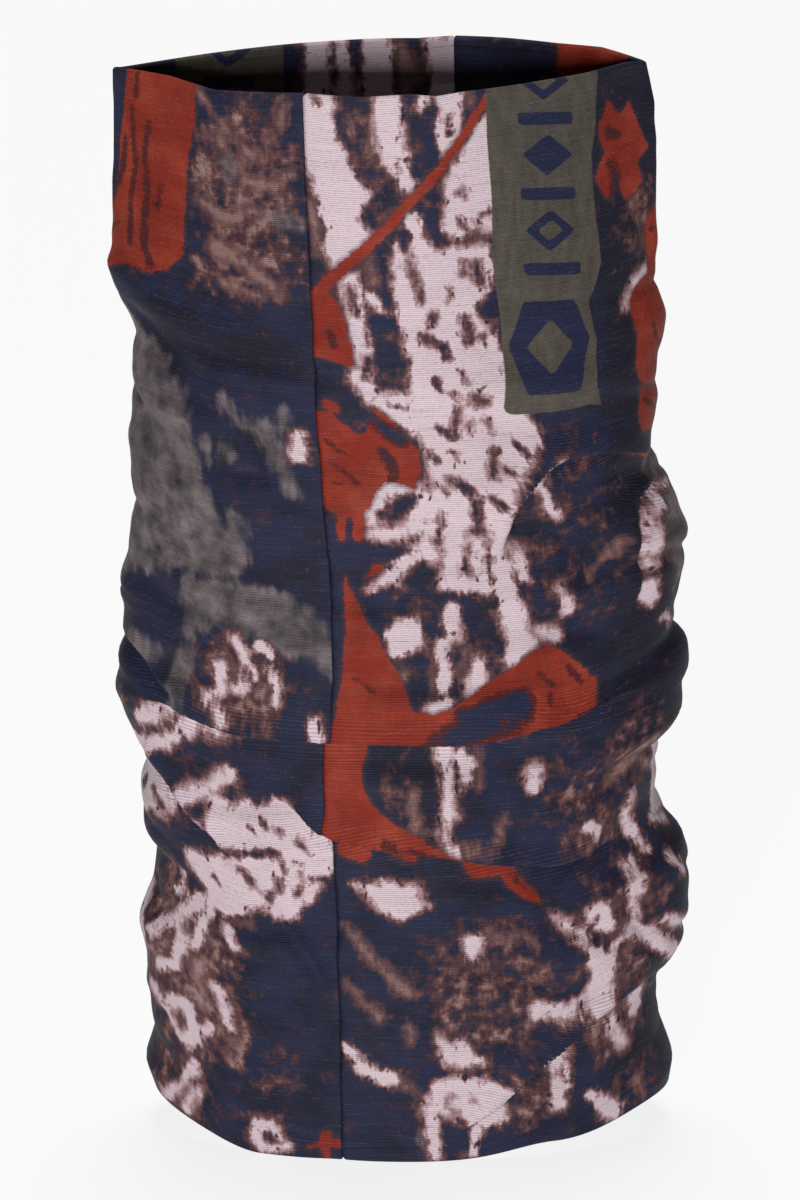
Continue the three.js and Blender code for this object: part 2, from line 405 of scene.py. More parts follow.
def at_wall(around, up, inset):
    """A point behind the printed face of the wall, from the grid."""
    around = np.mod(around + PANEL_WIDTH, 2 * PANEL_WIDTH)
    up = np.clip(up, 0.0, WALL - 1e-6)
    i, j = around.astype(int), up.astype(int)
    a, b = (around - i)[..., None], (up - j)[..., None]
    total = 0.0
    near = np.minimum(inset, CLOTH_THICK)[..., None]
    far = np.maximum(inset - CLOTH_THICK, 0.0)[..., None]
    for grid, scale in ((WALL_POINTS, 1.0), (WALL_BEHIND, near), (WALL_CALM, far)):
        lower = grid[i, j] * (1 - a) + grid[i + 1, j] * a
        upper = grid[i, j + 1] * (1 - a) + grid[i + 1, j + 1] * a
        total = total + scale * (lower * (1 - b) + upper * b)
    return total


# ---- Hems and seams ----
#
# across: millimetres from a panel's starting seam, from -6 to 256, with its allowances.
# along: millimetres up a panel from the fold of its lower hem, from -30 to 470.

END_RADIUS = 0.6  # of the fold that turns a panel's allowance back under it
START_DEPTH = 1.26  # how far the next panel's allowance lies below the printed face
SEAM_HEM_EXTRA = 0.85  # how much rounder a hem's fold is where the seam's layers are inside it
SEAM_MIDDLE = -3.0  # the middle of a seam's layers, seen from the seam
SEAM_HEM_REACH = 9.0  # how far round from there the fold is rounder


def hem_radius(around):
    half = PANEL_WIDTH / 2
    from_seam = np.abs(np.mod(around - SEAM_MIDDLE + half, PANEL_WIDTH) - half)
    return FOLD_RADIUS + SEAM_HEM_EXTRA * np.exp(-((from_seam / SEAM_HEM_REACH) ** 2))


def hem_path(along, radius):
    """Up and inset of the printed face, and the way it faces, as (up, inset)."""
    half_arc = radius * math.pi / 2
    wall_up = radius + (along - half_arc) * (WALL - 2 * radius) / (WALL - 2 * half_arc)
    low = np.clip(along / radius, -math.pi / 2, math.pi / 2)
    high = np.clip((along - WALL) / radius, -math.pi / 2, math.pi / 2)
    lower_half = along < WALL / 2
    turn = np.where(lower_half, low, high)
    sign = np.where(lower_half, -1.0, 1.0)
    centre_up = np.where(lower_half, radius, WALL - radius)
    up = centre_up + sign * radius * np.cos(turn)
    inset = radius + sign * radius * np.sin(turn)
    on_wall = (along > half_arc) & (along < WALL - half_arc)
    up = np.where(on_wall, wall_up, up)
    beyond_low = np.maximum(-along - half_arc, 0.0)
    beyond_high = np.maximum(along - WALL - half_arc, 0.0)
    up = up + beyond_low - beyond_high
    return up, inset, sign * np.cos(turn), sign * np.sin(turn)


def behind_face(around, along, depth):
    """A point at a depth behind the printed face of the cloth, its hems included."""
    radius = hem_radius(around)
    up, inset, face_up, face_inset = hem_path(along, radius)
    return at_wall(around, up - depth * face_up, inset - depth * face_inset)


def seam_path(across):
    """Around and depth of the printed face near a panel's two seams, and the way it faces."""
    half_arc = END_RADIUS * math.pi / 2
    turn = np.clip((across - PANEL_WIDTH) / END_RADIUS, -math.pi / 2, math.pi / 2)
    in_turn = across > PANEL_WIDTH - half_arc
    back = np.maximum(across - PANEL_WIDTH - half_arc, 0.0)
    end_around = PANEL_WIDTH - END_RADIUS + END_RADIUS * np.cos(turn) - back
    straight = across * (PANEL_WIDTH - END_RADIUS) / (PANEL_WIDTH - half_arc)
    around = np.where(in_turn, end_around, np.where(across > 0, straight, across))
    sinks = START_DEPTH * (1.0 - smooth(across, -0.7, 1.5))
    depth = np.where(in_turn, END_RADIUS + END_RADIUS * np.sin(turn), sinks)
    face_around = np.where(in_turn, np.cos(turn), 0.0)
    face_depth = np.where(in_turn, np.sin(turn), -1.0)
    return around, depth, face_around, face_depth


def across_stations():
    """Where the cloth's rows of vertices stand: closer together at the two seams."""
    start = [-6.0, -4.8, -3.6, -2.4, -1.4, -0.7, -0.2, 0.3, 0.8, 1.3, 2.0, 3.0]
    middle = np.linspace(4.2, PANEL_WIDTH - 4.2, int((PANEL_WIDTH - 8.4) / STEP) + 1)
    half_arc = END_RADIUS * math.pi / 2
    turn = PANEL_WIDTH + np.linspace(-half_arc, half_arc, 7)
    end = [PANEL_WIDTH - 2.6, PANEL_WIDTH - 1.6, *turn]
    return np.array([*start, *middle, *end, 252.0, 253.3, 254.6, 256.0])


def along_stations():
    """The same up the panel: closer together at the folds of the two hems."""
    lower = np.linspace(-TURN_IN, -4.6, 13)
    fold = np.linspace(-3.4, 3.4, 11)
    middle = np.linspace(4.8, WALL - 4.8, int((WALL - 9.6) / STEP) + 1)
    return np.concatenate([lower, fold, middle, WALL + fold, WALL - lower])


# ---- Meshes ----


def new_object(name, vertices, faces, smooth_faces=True):
    mesh = bpy.data.meshes.new(name)
    mesh.from_pydata((np.asarray(vertices) * MM).tolist(), [], faces)
    mesh.update()
    mesh.polygons.foreach_set("use_smooth", [smooth_faces] * len(mesh.polygons))
    piece = bpy.data.objects.new(name, mesh)
    bpy.context.scene.collection.objects.link(piece)
    return piece


def grid_faces(rows, columns, first, flip):
    """Quads over a grid of vertices that starts at a given vertex."""
    i, j = np.meshgrid(np.arange(rows - 1), np.arange(columns - 1), indexing="ij")
    corner = (first + i * columns + j).ravel()
    quads = np.stack([corner, corner + columns, corner + columns + 1, corner + 1], axis=1)
    return quads[:, ::-1] if flip else quads


def rim_faces(rows, columns):
    """The cut edges, which join the printed layer to the reverse layer."""
    index = np.arange(rows * columns).reshape(rows, columns)
    loop = np.concatenate([index[:-1, 0], index[-1, :-1], index[:0:-1, -1], index[0, :0:-1]])
    following = np.roll(loop, -1)
    other = rows * columns
    return np.stack([loop, loop + other, following + other, following], axis=1)


def make_panel(name, start_around):
    """One panel: a printed layer, a reverse layer behind it, and the cut edges between them."""
    across, along = np.meshgrid(across_stations(), along_stations(), indexing="ij")
    around, depth, face_around, face_depth = seam_path(across)
    layers = []
    for thickness in (0.0, CLOTH_THICK):
        place = start_around + around - thickness * face_around
        layers.append(behind_face(place, along, depth - thickness * face_depth))
    rows, columns = across.shape
    count = rows * columns
    vertices = np.concatenate([layer.reshape(-1, 3) for layer in layers])
    faces = np.concatenate(
        [
            grid_faces(rows, columns, 0, True),
            grid_faces(rows, columns, count, False),
            rim_faces(rows, columns),
        ]
    )
    panel = new_object(name, vertices, faces.tolist())
    mesh = panel.data
    material = np.zeros(len(faces), int)
    material[(rows - 1) * (columns - 1) :] = 1
    mesh.polygons.foreach_set("material_index", material)
    add_uv(mesh, across, along, faces)
    add_print(mesh, np.tile(across.ravel(), 2), np.tile(along.ravel(), 2))
    return panel


# The cloth laid flat on its own square: margins and sizes as shares of the square.
UV_MARGIN = 0.01
UV_WIDTH = 0.48  # of one side of the cloth
UV_HEIGHT = 0.95
UV_REVERSE = 0.5  # where the reverse starts
UV_RIM_LENGTH = 0.97  # of the strip for the cut edges, which lies above the cloth
UV_RIM_LOW = 0.975
UV_RIM_HIGH = 0.99


def add_uv(mesh, across, along, faces):
    """The cloth laid flat: the printed side, the reverse beside it, and the cut edges above."""
    u = (across.ravel() + ALLOWANCE) / (PANEL_WIDTH + 2 * ALLOWANCE) * UV_WIDTH + UV_MARGIN
    v = (along.ravel() + TURN_IN) / PANEL_LENGTH * UV_HEIGHT + UV_MARGIN
    places = np.concatenate([np.stack([u, v], axis=1), np.stack([u + UV_REVERSE, v], axis=1)])
    per_corner = places[faces.ravel()]
    rims = 4 * 2 * (across.shape[0] - 1) * (across.shape[1] - 1)
    rim_count = (len(per_corner) - rims) // 4
    start = np.arange(rim_count) / rim_count * UV_RIM_LENGTH + UV_MARGIN
    following = start + UV_RIM_LENGTH / rim_count
    strip = np.stack([start, start, following, following], axis=1)
    per_corner[rims:, 0] = strip.ravel()
    per_corner[rims:, 1] = np.tile([UV_RIM_LOW, UV_RIM_HIGH, UV_RIM_HIGH, UV_RIM_LOW], rim_count)
    mesh.uv_layers.new(name="OFBake").data.foreach_set("uv", per_corner.ravel())


def tube(name, path, radius, sides=6):
    """A thread: a thin round tube with closed ends along a path."""
    path = np.asarray(path, float)
    tangent = np.gradient(path, axis=0)
    tangent /= np.linalg.norm(tangent, axis=1)[:, None]
    guide = np.where(np.abs(tangent[:, 2:3]) < 0.9, [[0.0, 0.0, 1.0]], [[1.0, 0.0, 0.0]])
    side = np.cross(tangent, guide)
    side /= np.linalg.norm(side, axis=1)[:, None]
    for k in range(1, len(side)):
        side[k] = side[k - 1] - tangent[k] * np.dot(side[k - 1], tangent[k])
        side[k] /= np.linalg.norm(side[k])
    other = np.cross(tangent, side)
    turn = np.arange(sides) * 2 * math.pi / sides
    ring = side[:, None] * np.cos(turn)[None, :, None] + other[:, None] * np.sin(turn)[None, :, None]
    vertices = (path[:, None] + radius * ring).reshape(-1, 3)
    faces = []
    for k in range(len(path) - 1):
        for s in range(sides):
            a, b = k * sides + s, k * sides + (s + 1) % sides
            faces.append((a, b, b + sides, a + sides))
    last = (len(path) - 1) * sides
    faces.append(tuple(range(sides))[::-1])
    faces.append(tuple(range(last, last + sides)))
    return new_object(name, vertices, faces)


# ---- The overlocked seams ----

STITCH = 2.5
NEEDLE_LINE = -0.9
RAW_EDGE = -6.1
SEAM_END = 2.0  # from the first and the last stitch to the cut end of the panel
THREAD = 0.13  # radius
UPPER_DEPTH = START_DEPTH + CLOTH_THICK + THREAD + 0.02
LOWER_DEPTH = CLOTH_THICK + THREAD + 0.04
NEEDLE_RAISED = 0.16  # how far a needle stitch lies over the looper threads
LOOP_LEAN = 0.12  # how far a loop leans along the seam, as a share of a stitch


def looper_path(seam, depth, lean):
    """Zigzag loops from the needle line to the raw edge and back, once a stitch."""
    stitches = int((PANEL_LENGTH - 2 * SEAM_END) / STITCH)
    t = np.linspace(0.0, stitches, stitches * 12 + 1)
    phase = t % 1.0
    swing = 0.5 - 0.5 * np.cos(2 * math.pi * phase)
    across = NEEDLE_LINE + (RAW_EDGE - NEEDLE_LINE) * swing**0.8
    along = SEAM_END - TURN_IN + STITCH * (t + lean * np.sin(2 * math.pi * phase))
    return behind_face(seam + across, along, np.full(across.shape, depth))


def needle_path(seam):
    """Small straight stitches on the inside that dip through the allowances between them."""
    stitches = int((PANEL_LENGTH - 2 * SEAM_END) / STITCH)
    t = np.linspace(0.0, stitches, stitches * 10 + 1)
    dip = np.clip(1.6 * np.cos(2 * math.pi * t) - 0.6, 0.0, 1.0)
    depth = UPPER_DEPTH + NEEDLE_RAISED - dip * (UPPER_DEPTH - LOWER_DEPTH)
    around = np.full(t.shape, seam + NEEDLE_LINE)
    return behind_face(around, SEAM_END - TURN_IN + STITCH * t, depth)


def make_seam(name, seam):
    return [
        tube(f"{name}_needle_stitches", needle_path(seam), THREAD),
        tube(f"{name}_upper_looper_stitches", looper_path(seam, UPPER_DEPTH, LOOP_LEAN), THREAD),
        tube(f"{name}_lower_looper_stitches", looper_path(seam, LOWER_DEPTH, -LOOP_LEAN), THREAD),
    ]


# ---- The print ----
#
# Both panels are cut from the same printed cloth. A place on it is millimetres from the
# panel's starting seam and millimetres up. Shapes near the ending seam are given from that
# seam instead, with numbers below FROM_END. A list is a filled outline; a tuple is a brush
# stroke: its half width at both ends, then the points that it passes.

PALE = [
    # The upper left, with its two flames.
    [(-4, 474), (9, 474), (11, 428), (14, 418), (18, 408), (24, 401), (20, 396), (19, 388),
     (27, 383), (16, 374), (9, 370), (6, 379), (8, 387), (5, 396), (2, 408), (-2, 420)],
    [(24, 474), (36, 474), (36, 428), (37, 414), (40, 406), (41, 400), (37, 402), (30, 412), (27, 424)],
    [(40, 474), (47, 474), (46, 436), (43, 434)],
    [(51, 474), (60, 474), (58, 430), (58, 421), (53, 413), (50, 415), (50, 426)],
    [(61, 421), (66, 430), (70, 433), (70, 384), (63, 386), (54, 383), (51, 386), (52, 405)],
    # The long column down its middle.
    [(37, 394), (41, 392), (42, 384), (46, 378), (66, 378), (68, 371), (66, 362), (60, 357),
     (61, 350), (67, 345), (70, 330), (71, 314), (80, 310), (83, 300), (76, 290), (70, 281),
     (66, 264), (60, 263), (50, 268), (45, 272), (41, 280), (40, 292), (38, 304), (34, 314),
     (36, 326), (35, 340), (32, 352), (31, 366), (33, 380)],
    (3.4, 3.6, (14, 367), (16, 352), (18, 340), (17, 328)),
    (3, 1.8, (17, 331), (20, 321), (30, 319), (40, 318)),
    (1.6, 3, (17, 322), (26, 315), (34, 309), (42, 304)),
    (1.6, 2, (23, 360), (25, 356)),
    (3.4, 3.4, (17, 271), (20, 279), (27, 284), (35, 282), (38, 275)),
    (2.6, 3.4, (19, 264), (26, 264), (33, 267), (38, 275)),
    (3, 2.4, (38, 280), (40, 268), (36, 258), (40, 254)),
    (2, 3, (34, 257), (27, 251), (23, 247)),
    (2, 1.4, (20, 245), (16, 241)),
    (4, 3, (49, 270), (47, 256), (45, 244), (52, 243)),
    (3, 2.6, (57, 264), (56, 250), (58, 242)),
    (3.2, 5, (64, 264), (65, 250), (66, 238), (69, 226), (72, 218)),
    (3, 3, (69, 218), (68, 209)),
    (1.8, 1.6, (72, 254), (74, 244)),
    (2.2, 3.4, (78, 222), (84, 219)),
    (2.6, 2, (45, 234), (44, 222)),
    (1.5, 1.5, (46, 232), (47, 222)),
    [(20, 222), (24, 228), (31, 229), (34, 222), (29, 216), (22, 215)],
    (1, 2.2, (87, 239), (90, 229)),
    (1.2, 0.8, (90, 293), (85, 288), (84, 279), (86, 271), (89, 267)),
    (2, 5, (54, 212), (55, 206), (54, 201)),
    (2.2, 1.4, (41, 220), (42, 206), (42, 196)),
    (2.6, 2.2, (38, 193), (43, 196)),
    # Below the great fold.
    [(42, 181), (58, 181), (57, 170), (55, 163), (52, 162), (50, 172), (46, 165), (43, 170)],
    (2.2, 1.4, (47, 166), (46, 152), (45, 140), (47, 135)),
    (2.6, 2.4, (79, 165), (79, 158)),
    [(6, 119), (12, 116), (18, 108), (25, 105), (33, 111), (31, 118), (20, 120)],
    (1.4, 3.4, (3, 50), (10, 41), (18, 37)),
    (3.6, 3, (51, 94), (51, 89)),
    [(37, 55), (41, 52), (46, 53), (51, 47), (54, 44), (48, 42), (40, 44)],
    [(32, 27), (37, 36), (44, 37), (56, 35), (63, 31), (66, 24), (63, 16), (54, 13), (47, 17), (36, 22)],
    (3, 2, (34, 24), (35, 16), (36, 4)),
    (1.8, 1.4, (53, 12), (50, 4)),
    (3.6, 3.2, (76, 64), (86, 62), (96, 62), (104, 58)),
    [(90, 92), (95, 84), (97, 74), (95, 62), (99, 55), (105, 58), (108, 72), (106, 78), (101, 84)],
    (4, 3, (100, 100), (104, 92)),
    (1.2, 1, (84, 102), (94, 92), (104, 80), (110, 84)),
    (3.2, 3.4, (86, 45), (86, 32), (84, 20)),
    (1.8, 3.6, (98, 19), (104, 12), (109, 6)),
    (1.8, 1.8, (105, 54), (116, 55)),
    (2.6, 2, (109, 46), (111, 38), (114, 33)),
    (2.8, 3, (120, 55), (121, 46)),
    (1.8, 1.6, (115, 112), (116, 98), (116, 88)),
    (1.4, 1.2, (118, 112), (118, 98)),
    (2.6, 3.2, (114, 86), (122, 78), (130, 70), (137, 64)),
    (1.8, 2, (128, 84), (136, 78), (144, 74)),
    (1.4, 2.8, (121, 140), (119, 131), (122, 122)),
    (1.8, 1.2, (123, 121), (128, 112)),
    (1.8, 1.2, (136, 122), (150, 118)),
    (2, 1.6, (135, 106), (141, 98)),
    (2, 1.5, (100, 136), (104, 131)),
    # The far right.
    (2, 2.6, (124, 346), (128, 352), (138, 357), (150, 362)),
    (0.8, 1.2, (119, 230), (119, 244), (121, 256), (128, 262), (150, 264)),
    (0.9, 1.6, (122, 240), (124, 250), (129, 257), (136, 259)),
    (2.6, 2.4, (124, 229), (126, 222)),
    (1.6, 1.2, (134, 211), (146, 206)),
    (2.2, 1.8, (128, 250), (125, 238)),
    # From here the shapes are given from the ending seam.
    [(-47, 151), (-38, 146), (-33, 150), (-27, 147), (-20, 153), (-15, 152), (-9, 143), (-1, 137),
     (1, 128), (-3, 124), (-10, 112), (-17, 104), (-24, 102), (-30, 108), (-38, 103), (-45, 98),
     (-50, 100), (-62, 112), (-62, 118), (-46, 123), (-42, 130), (-46, 137)],
    (2.4, 3.4, (-3, 168), (-4, 156), (-5, 149)),
    (3.2, 2.4, (-56, 144), (-46, 152), (-38, 160)),
    (2.6, 3.2, (-80, 156), (-66, 163), (-54, 172), (-49, 178)),
    (2.8, 2, (-76, 168), (-64, 176), (-54, 179)),
    (3, 2.2, (-44, 176), (-32, 180)),
    [(-92, 160), (-84, 158), (-62, 141), (-74, 131), (-92, 124), (-112, 122), (-112, 160)],
    (3, 2, (-72, 132), (-60, 141), (-50, 136)),
    (2.4, 2, (-44, 204), (-44, 195), (-50, 190)),
    (2.2, 2.6, (-38, 218), (-34, 210), (-31, 203), (-38, 197)),
    (1.6, 1.4, (-24, 208), (-21, 200), (-22, 194)),
    (1.4, 1.8, (-24, 212), (-28, 216)),
    (2, 1.6, (-6, 187), (-4, 181)),
    (1.6, 1.4, (-46, 189), (-42, 186)),
    (1.8, 3, (-8, 303), (-8, 295)),
    (3.2, 2.6, (-58, 98), (-68, 86), (-76, 80), (-82, 74)),
    (2.6, 2.4, (-52, 106), (-56, 88), (-60, 78)),
    (2.8, 2.2, (-66, 78), (-68, 66), (-78, 60)),
    (3.2, 3.6, (-72, 48), (-64, 50), (-60, 40), (-66, 34)),
    (2.4, 2.2, (-84, 50), (-78, 44), (-70, 36)),
    (2.2, 2, (-50, 66), (-46, 58), (-44, 52)),
    (1.8, 1.8, (-54, 48), (-56, 42)),
    (2, 1.8, (-45, 94), (-42, 88)),
    (3, 2.4, (-96, 88), (-90, 70), (-94, 56)),
    (2.4, 1.6, (-80, 4), (-70, 12), (-62, 26)),
    (2, 1.6, (-66, 6), (-60, 16)),
    (1.8, 1.2, (-34, 13), (-28, 13), (-22, 6)),
    (1.8, 1.4, (-35, 11), (-32, 4), (-22, 5)),
    (2, 1.6, (-70, 96), (-68, 104)),
]

DARK_SPOTS = [
    (1.4, 1.8, (15, 364), (16, 354)), (0.9, 0.9, (20, 346), (20, 341)), (1.6, 1.8, (20, 335), (19, 328)),
    (1.8, 1.8, (35, 386), (36, 378)), (1.8, 1.6, (37, 374), (39, 366), (41, 358)),
    (1.4, 1.2, (51, 362), (51, 358)), (1.3, 1.5, (45, 353), (44, 349)), (2, 2.2, (57, 350), (58, 342)),
    (1.8, 2, (40, 343), (44, 342)), (1.6, 1.8, (47, 341), (49, 336)), (1.2, 1.2, (57, 373), (56, 368)),
    (2, 1.6, (62, 372), (63, 364)), (1.6, 1.4, (62, 355), (68, 347)), (0.8, 0.8, (63, 342), (64, 339)),
    (1, 0.8, (54, 330), (56, 325)), (1, 0.8, (44, 327), (46, 322)), (2.2, 2.6, (58, 319), (63, 317)),
    (1.3, 1, (52, 320), (52, 312), (51, 304)), (1.2, 1, (45, 307), (49, 303)),
    (1, 0.7, (64, 309), (65, 304)), (0.9, 0.7, (57, 308), (57, 304)), (1.3, 1, (41, 297), (44, 294)),
    (1.6, 1.8, (48, 286), (52, 284), (55, 281)), (1.8, 1.6, (65, 297), (64, 287)),
    (1.6, 1.8, (63, 279), (65, 275)), (1.8, 2.2, (57, 276), (57, 264)), (1.2, 1, (73, 300), (77, 295)),
    (0.9, 0.9, (69, 290), (72, 287)), (0.8, 0.8, (50, 297), (51, 294)), (0.9, 0.7, (45, 283), (47, 280)),
    (2.6, 2.2, (22, 271), (28, 274), (33, 279)), (1, 0.8, (57, 401), (59, 398)),
    (1.2, 0.9, (57, 390), (58, 386)), (1.4, 0.9, (67, 392), (62, 390)), (0.8, 0.8, (34, 413), (35, 410)),
    (1.6, 1.4, (4, 440), (6, 436)), (1, 0.8, (53, 430), (54, 424)), (0.9, 0.7, (42, 30), (41, 25)),
    (0.8, 0.7, (49, 28), (50, 26)), (1.4, 1.2, (44, 22), (46, 15)), (1.2, 1, (94, 62), (94, 58)),
    (1.2, 1, (98, 88), (103, 85)), (0.8, 0.6, (86, 34), (86, 30)), (1, 0.8, (101, 97), (99, 94)),
    (1, 0.8, (58, 172), (50, 174)),
    # From the ending seam.
    (2, 1.6, (-40, 128), (-32, 130), (-22, 131)), (2, 1.4, (-36, 121), (-33, 116)),
    (1.2, 1.2, (-22, 120), (-22, 115)), (1.3, 1.2, (-12, 136), (-10, 133)),
    (1.6, 1.4, (-25, 113), (-27, 110)),
    (1, 1, (-21, 129), (-19, 124)), (1, 1, (-12, 127), (-13, 123)),
    (0.8, 0.8, (-30, 140), (-28, 137)),
    (0.8, 0.6, (-25, 144), (-24, 141)), (0.9, 0.9, (-18, 140), (-19, 137)),
    (1.6, 1.6, (-8, 120), (-4, 121)),
    (0.9, 0.7, (-50, 113), (-48, 110)), (1, 0.8, (-4, 150), (-5, 146)),
    (1.1, 0.9, (-15, 114), (-13, 117)),
    (1.6, 1.4, (-68, 166), (-61, 171)), (1.4, 1.2, (-76, 138), (-70, 133)),
    (1, 0.8, (-58, 163), (-56, 168)),
    (1.6, 1.6, (-86, 136), (-84, 139)), (0.9, 0.8, (-34, 206), (-33, 202)),
    (1, 0.8, (-60, 90), (-56, 95)),
    (1.4, 1.4, (-70, 56), (-69, 58)), (1.2, 1.2, (-78, 55), (-75, 52)), (1.6, 1.4, (-79, 71), (-74, 68)),
]

RED = [
    (1.5, 2, (69, 437), (64, 430), (59, 422), (54, 416), (49, 409), (43, 402), (37, 396)),
    (2, 2.4, (37, 396), (31, 389), (24, 382), (17, 375), (10, 369), (3, 361)),
    [(-3, 360), (5, 363), (10, 357), (12, 348), (14, 339), (15, 332), (9, 334), (2, 336), (-3, 333)],
    [(-3, 313), (5, 313), (9, 309), (14, 305), (18, 304), (20, 311), (24, 310), (27, 306), (32, 303),
     (37, 298), (37, 289), (34, 283), (29, 286), (24, 286), (20, 282), (17, 275), (10, 271), (2, 274),
     (-3, 280)],
    (1.8, 2, (4, 317), (7, 315)), (1.2, 1, (22, 314), (30, 307)),
    (1.8, 1.2, (6, 269), (6, 262)), (2.4, 1.8, (13, 271), (12, 263)), (1.2, 1.8, (14, 246), (19, 250)),
    [(6, 246), (8, 239), (12, 230), (17, 222), (21, 213), (25, 205), (30, 192), (38, 191), (45, 193),
     (56, 200), (67, 207), (76, 214), (82, 216), (88, 212), (96, 203), (102, 196), (100, 190),
     (88, 187), (78, 185), (66, 183), (60, 181), (-3, 181), (2, 190), (4, 205), (6, 225), (5, 238)],
    [(-3, 182), (20, 181), (16, 174), (14, 166), (15, 159), (19, 151), (26, 144), (34, 140), (44, 135),
     (56, 130), (64, 127), (68, 121), (76, 114), (77, 110), (70, 113), (62, 121), (52, 121), (47, 127),
     (40, 129), (28, 134), (14, 138), (-3, 140)],
    (2.6, 2.2, (4, 133), (11, 130)), (1.4, 1.4, (22, 130), (30, 128)),
    [(129, 423), (123, 419), (118, 426), (112, 415), (115, 407), (110, 398), (115, 389), (121, 392),
     (126, 385), (133, 392), (131, 400), (139, 405), (133, 412)],
    [(126, 346), (132, 352), (145, 356), (152, 350), (152, 292), (140, 290), (130, 292), (128, 300),
     (131, 308), (126, 320), (128, 330), (126, 338)],
    (0.8, 1.4, (112, 288), (124, 281), (138, 278)),
    # From the ending seam.
    [(-40, 474), (-44, 420), (-47, 405), (-49, 386), (-50, 370), (-58, 362), (-66, 359), (-78, 360),
     (-94, 355), (-112, 352), (-112, 378), (-86, 388), (-82, 410), (-78, 426), (-70, 474)],
    (1.6, 2.6, (-13, 6), (-7, 8), (-2, 9)), (1, 2.4, (-9, 6), (-6, 12)), (1.8, 1.4, (-7, 6), (-6, 0)),
]

RED_SHADE = [
    (1.6, 3.6, (10, 320), (18, 313), (26, 306), (31, 303)), (2.2, 1.2, (24, 297), (28, 290), (26, 286)),
    (0.9, 0.6, (4, 292), (9, 289), (14, 284)), (0.8, 0.5, (3, 301), (8, 297), (12, 295)),
    (1, 0.6, (5, 284), (8, 285)), (4.8, 5.6, (50, 189), (60, 192), (71, 194)),
    (4, 2.6, (44, 185), (58, 187), (68, 189)),
    (2.2, 1, (36, 183), (42, 187)), (1.8, 1, (70, 193), (73, 199)), (1, 0.8, (90, 206), (95, 198)),
    (1, 0.5, (22, 139), (38, 135), (50, 130)), (2.2, 1.4, (117, 414), (121, 412)),
    (1.8, 2.4, (117, 402), (120, 396), (119, 391)), (0.6, 1, (128, 312), (136, 308), (150, 308)),
    (0.5, 0.9, (136, 336), (140, 328), (148, 322)), (0.5, 0.7, (133, 304), (142, 298)),
    (1.2, 0.8, (6, 345), (8, 340)), (0.8, 0.5, (78, 205), (84, 199), (82, 193)),
    (0.6, 0.4, (8, 205), (16, 200)), (0.9, 0.6, (68, 120), (72, 116)),
    (1.2, 1.8, (-64, 418), (-67, 404), (-66, 390), (-68, 372), (-66, 362)),
    (1, 1.4, (-74, 424), (-72, 404), (-75, 386), (-76, 368)), (0.6, 1, (-59, 396), (-61, 384)),
    (1.4, 2.6, (-78, 410), (-82, 396), (-90, 386)), (0.8, 0.6, (-84, 376), (-98, 370), (-110, 372)),
    (0.8, 1.2, (-70, 438), (-71, 428)),
]

TAUPE = [
    [(-80, 332), (-68, 327), (-60, 321), (-54, 314), (-52, 303), (-49, 294), (-48, 283), (-42, 271),
     (-40, 262), (-36, 272), (-32, 268), (-32, 250), (-38, 243), (-46, 241), (-62, 240), (-112, 222),
     (-112, 338), (-92, 344)],
    [(-58, 238), (-46, 240), (-30, 239), (-20, 237), (-10, 232), (0, 224), (3, 216), (0, 206),
     (-6, 211), (-14, 214), (-24, 217), (-40, 222), (-52, 219), (-58, 212), (-60, 224)],
    (4, 2.6, (-22, 306), (-17, 292), (-12, 281)), (2, 2, (-12, 312), (-12, 306)),
    (2.4, 1.6, (-45, 296), (-43, 289)), (1.6, 1.2, (-38, 296), (-36, 292)),
    (3, 2.6, (-36, 314), (-30, 306)),
    (3, 1.8, (-58, 206), (-62, 192), (-64, 182)), (3.4, 2, (-84, 203), (-72, 201)),
    (3, 2, (-12, 389), (-4, 386)), (1.8, 1.4, (-30, 412), (-28, 404)),
    [(128, 259), (140, 261), (152, 262), (152, 224), (138, 226), (132, 240), (126, 246)],
    (2.8, 1.8, (34, 12), (35, 5)),
]

# Painted shade: nearly black navy on the two sides of the tube, which turn away from the light, and in
# strips beside creases and under the great fold.
PAINTED_SHADE_SHAPES = [
    [(108, 440), (150, 440), (150, 190), (118, 196), (108, 236), (112, 300)],
    [(100, 196), (150, 186), (150, 150), (118, 156)],
    [(112, 86), (150, 60), (150, 20), (122, 24)],
    [(-96, 352), (-112, 340), (-112, 196), (-92, 204), (-92, 250), (-88, 300)],
    [(-112, 120), (-86, 96), (-84, 40), (-112, 30)],
    (6, 6, (-60, 345), (-30, 336), (-8, 334)),
    (5, 4, (-52, 262), (-30, 244), (-10, 246)),
    (4, 5, (60, 236), (84, 214), (104, 206)),
    (4, 4, (6, 172), (4, 160), (6, 148)),
    (5, 5, (40, 172), (34, 150), (44, 140)),
]

# Where the cloth is mottled with brown and pink: the middle, reach round and up, and strength.
MOTTLED = [
    (-24, 402, 26, 40, 0.95), (-26, 368, 24, 15, 1.05), (-36, 200, 22, 22, 1), (58, 72, 32, 36, 0.82),
    (70, 22, 16, 18, 0.8), (98, 150, 22, 24, 0.75), (100, 262, 18, 44, 0.55), (-66, 66, 30, 46, 1.2),
    (-44, 50, 10, 16, 1.2), (-26, 36, 16, 10, 0.7), (-70, 168, 24, 14, 0.7), (-88, 140, 30, 24, 0.7),
    (104, 130, 16, 12, 0.9), (110, 84, 22, 34, 0.9), (112, 44, 18, 18, 1), (120, 160, 18, 22, 0.8),
    (28, 155, 8, 24, 0.6), (62, 404, 10, 34, 0.7), (24, 404, 22, 40, 0.7), (50, 300, 34, 80, 0.45),
    (-72, 12, 22, 18, 0.9), (-32, 12, 14, 9, 0.8), (52, 210, 34, 20, 0.7), (14, 88, 5, 16, 0.2),
    (134, 380, 18, 20, 0.8), (118, 12, 18, 14, 0.7), (26, 236, 18, 14, 0.5), (78, 244, 14, 30, 0.6),
]

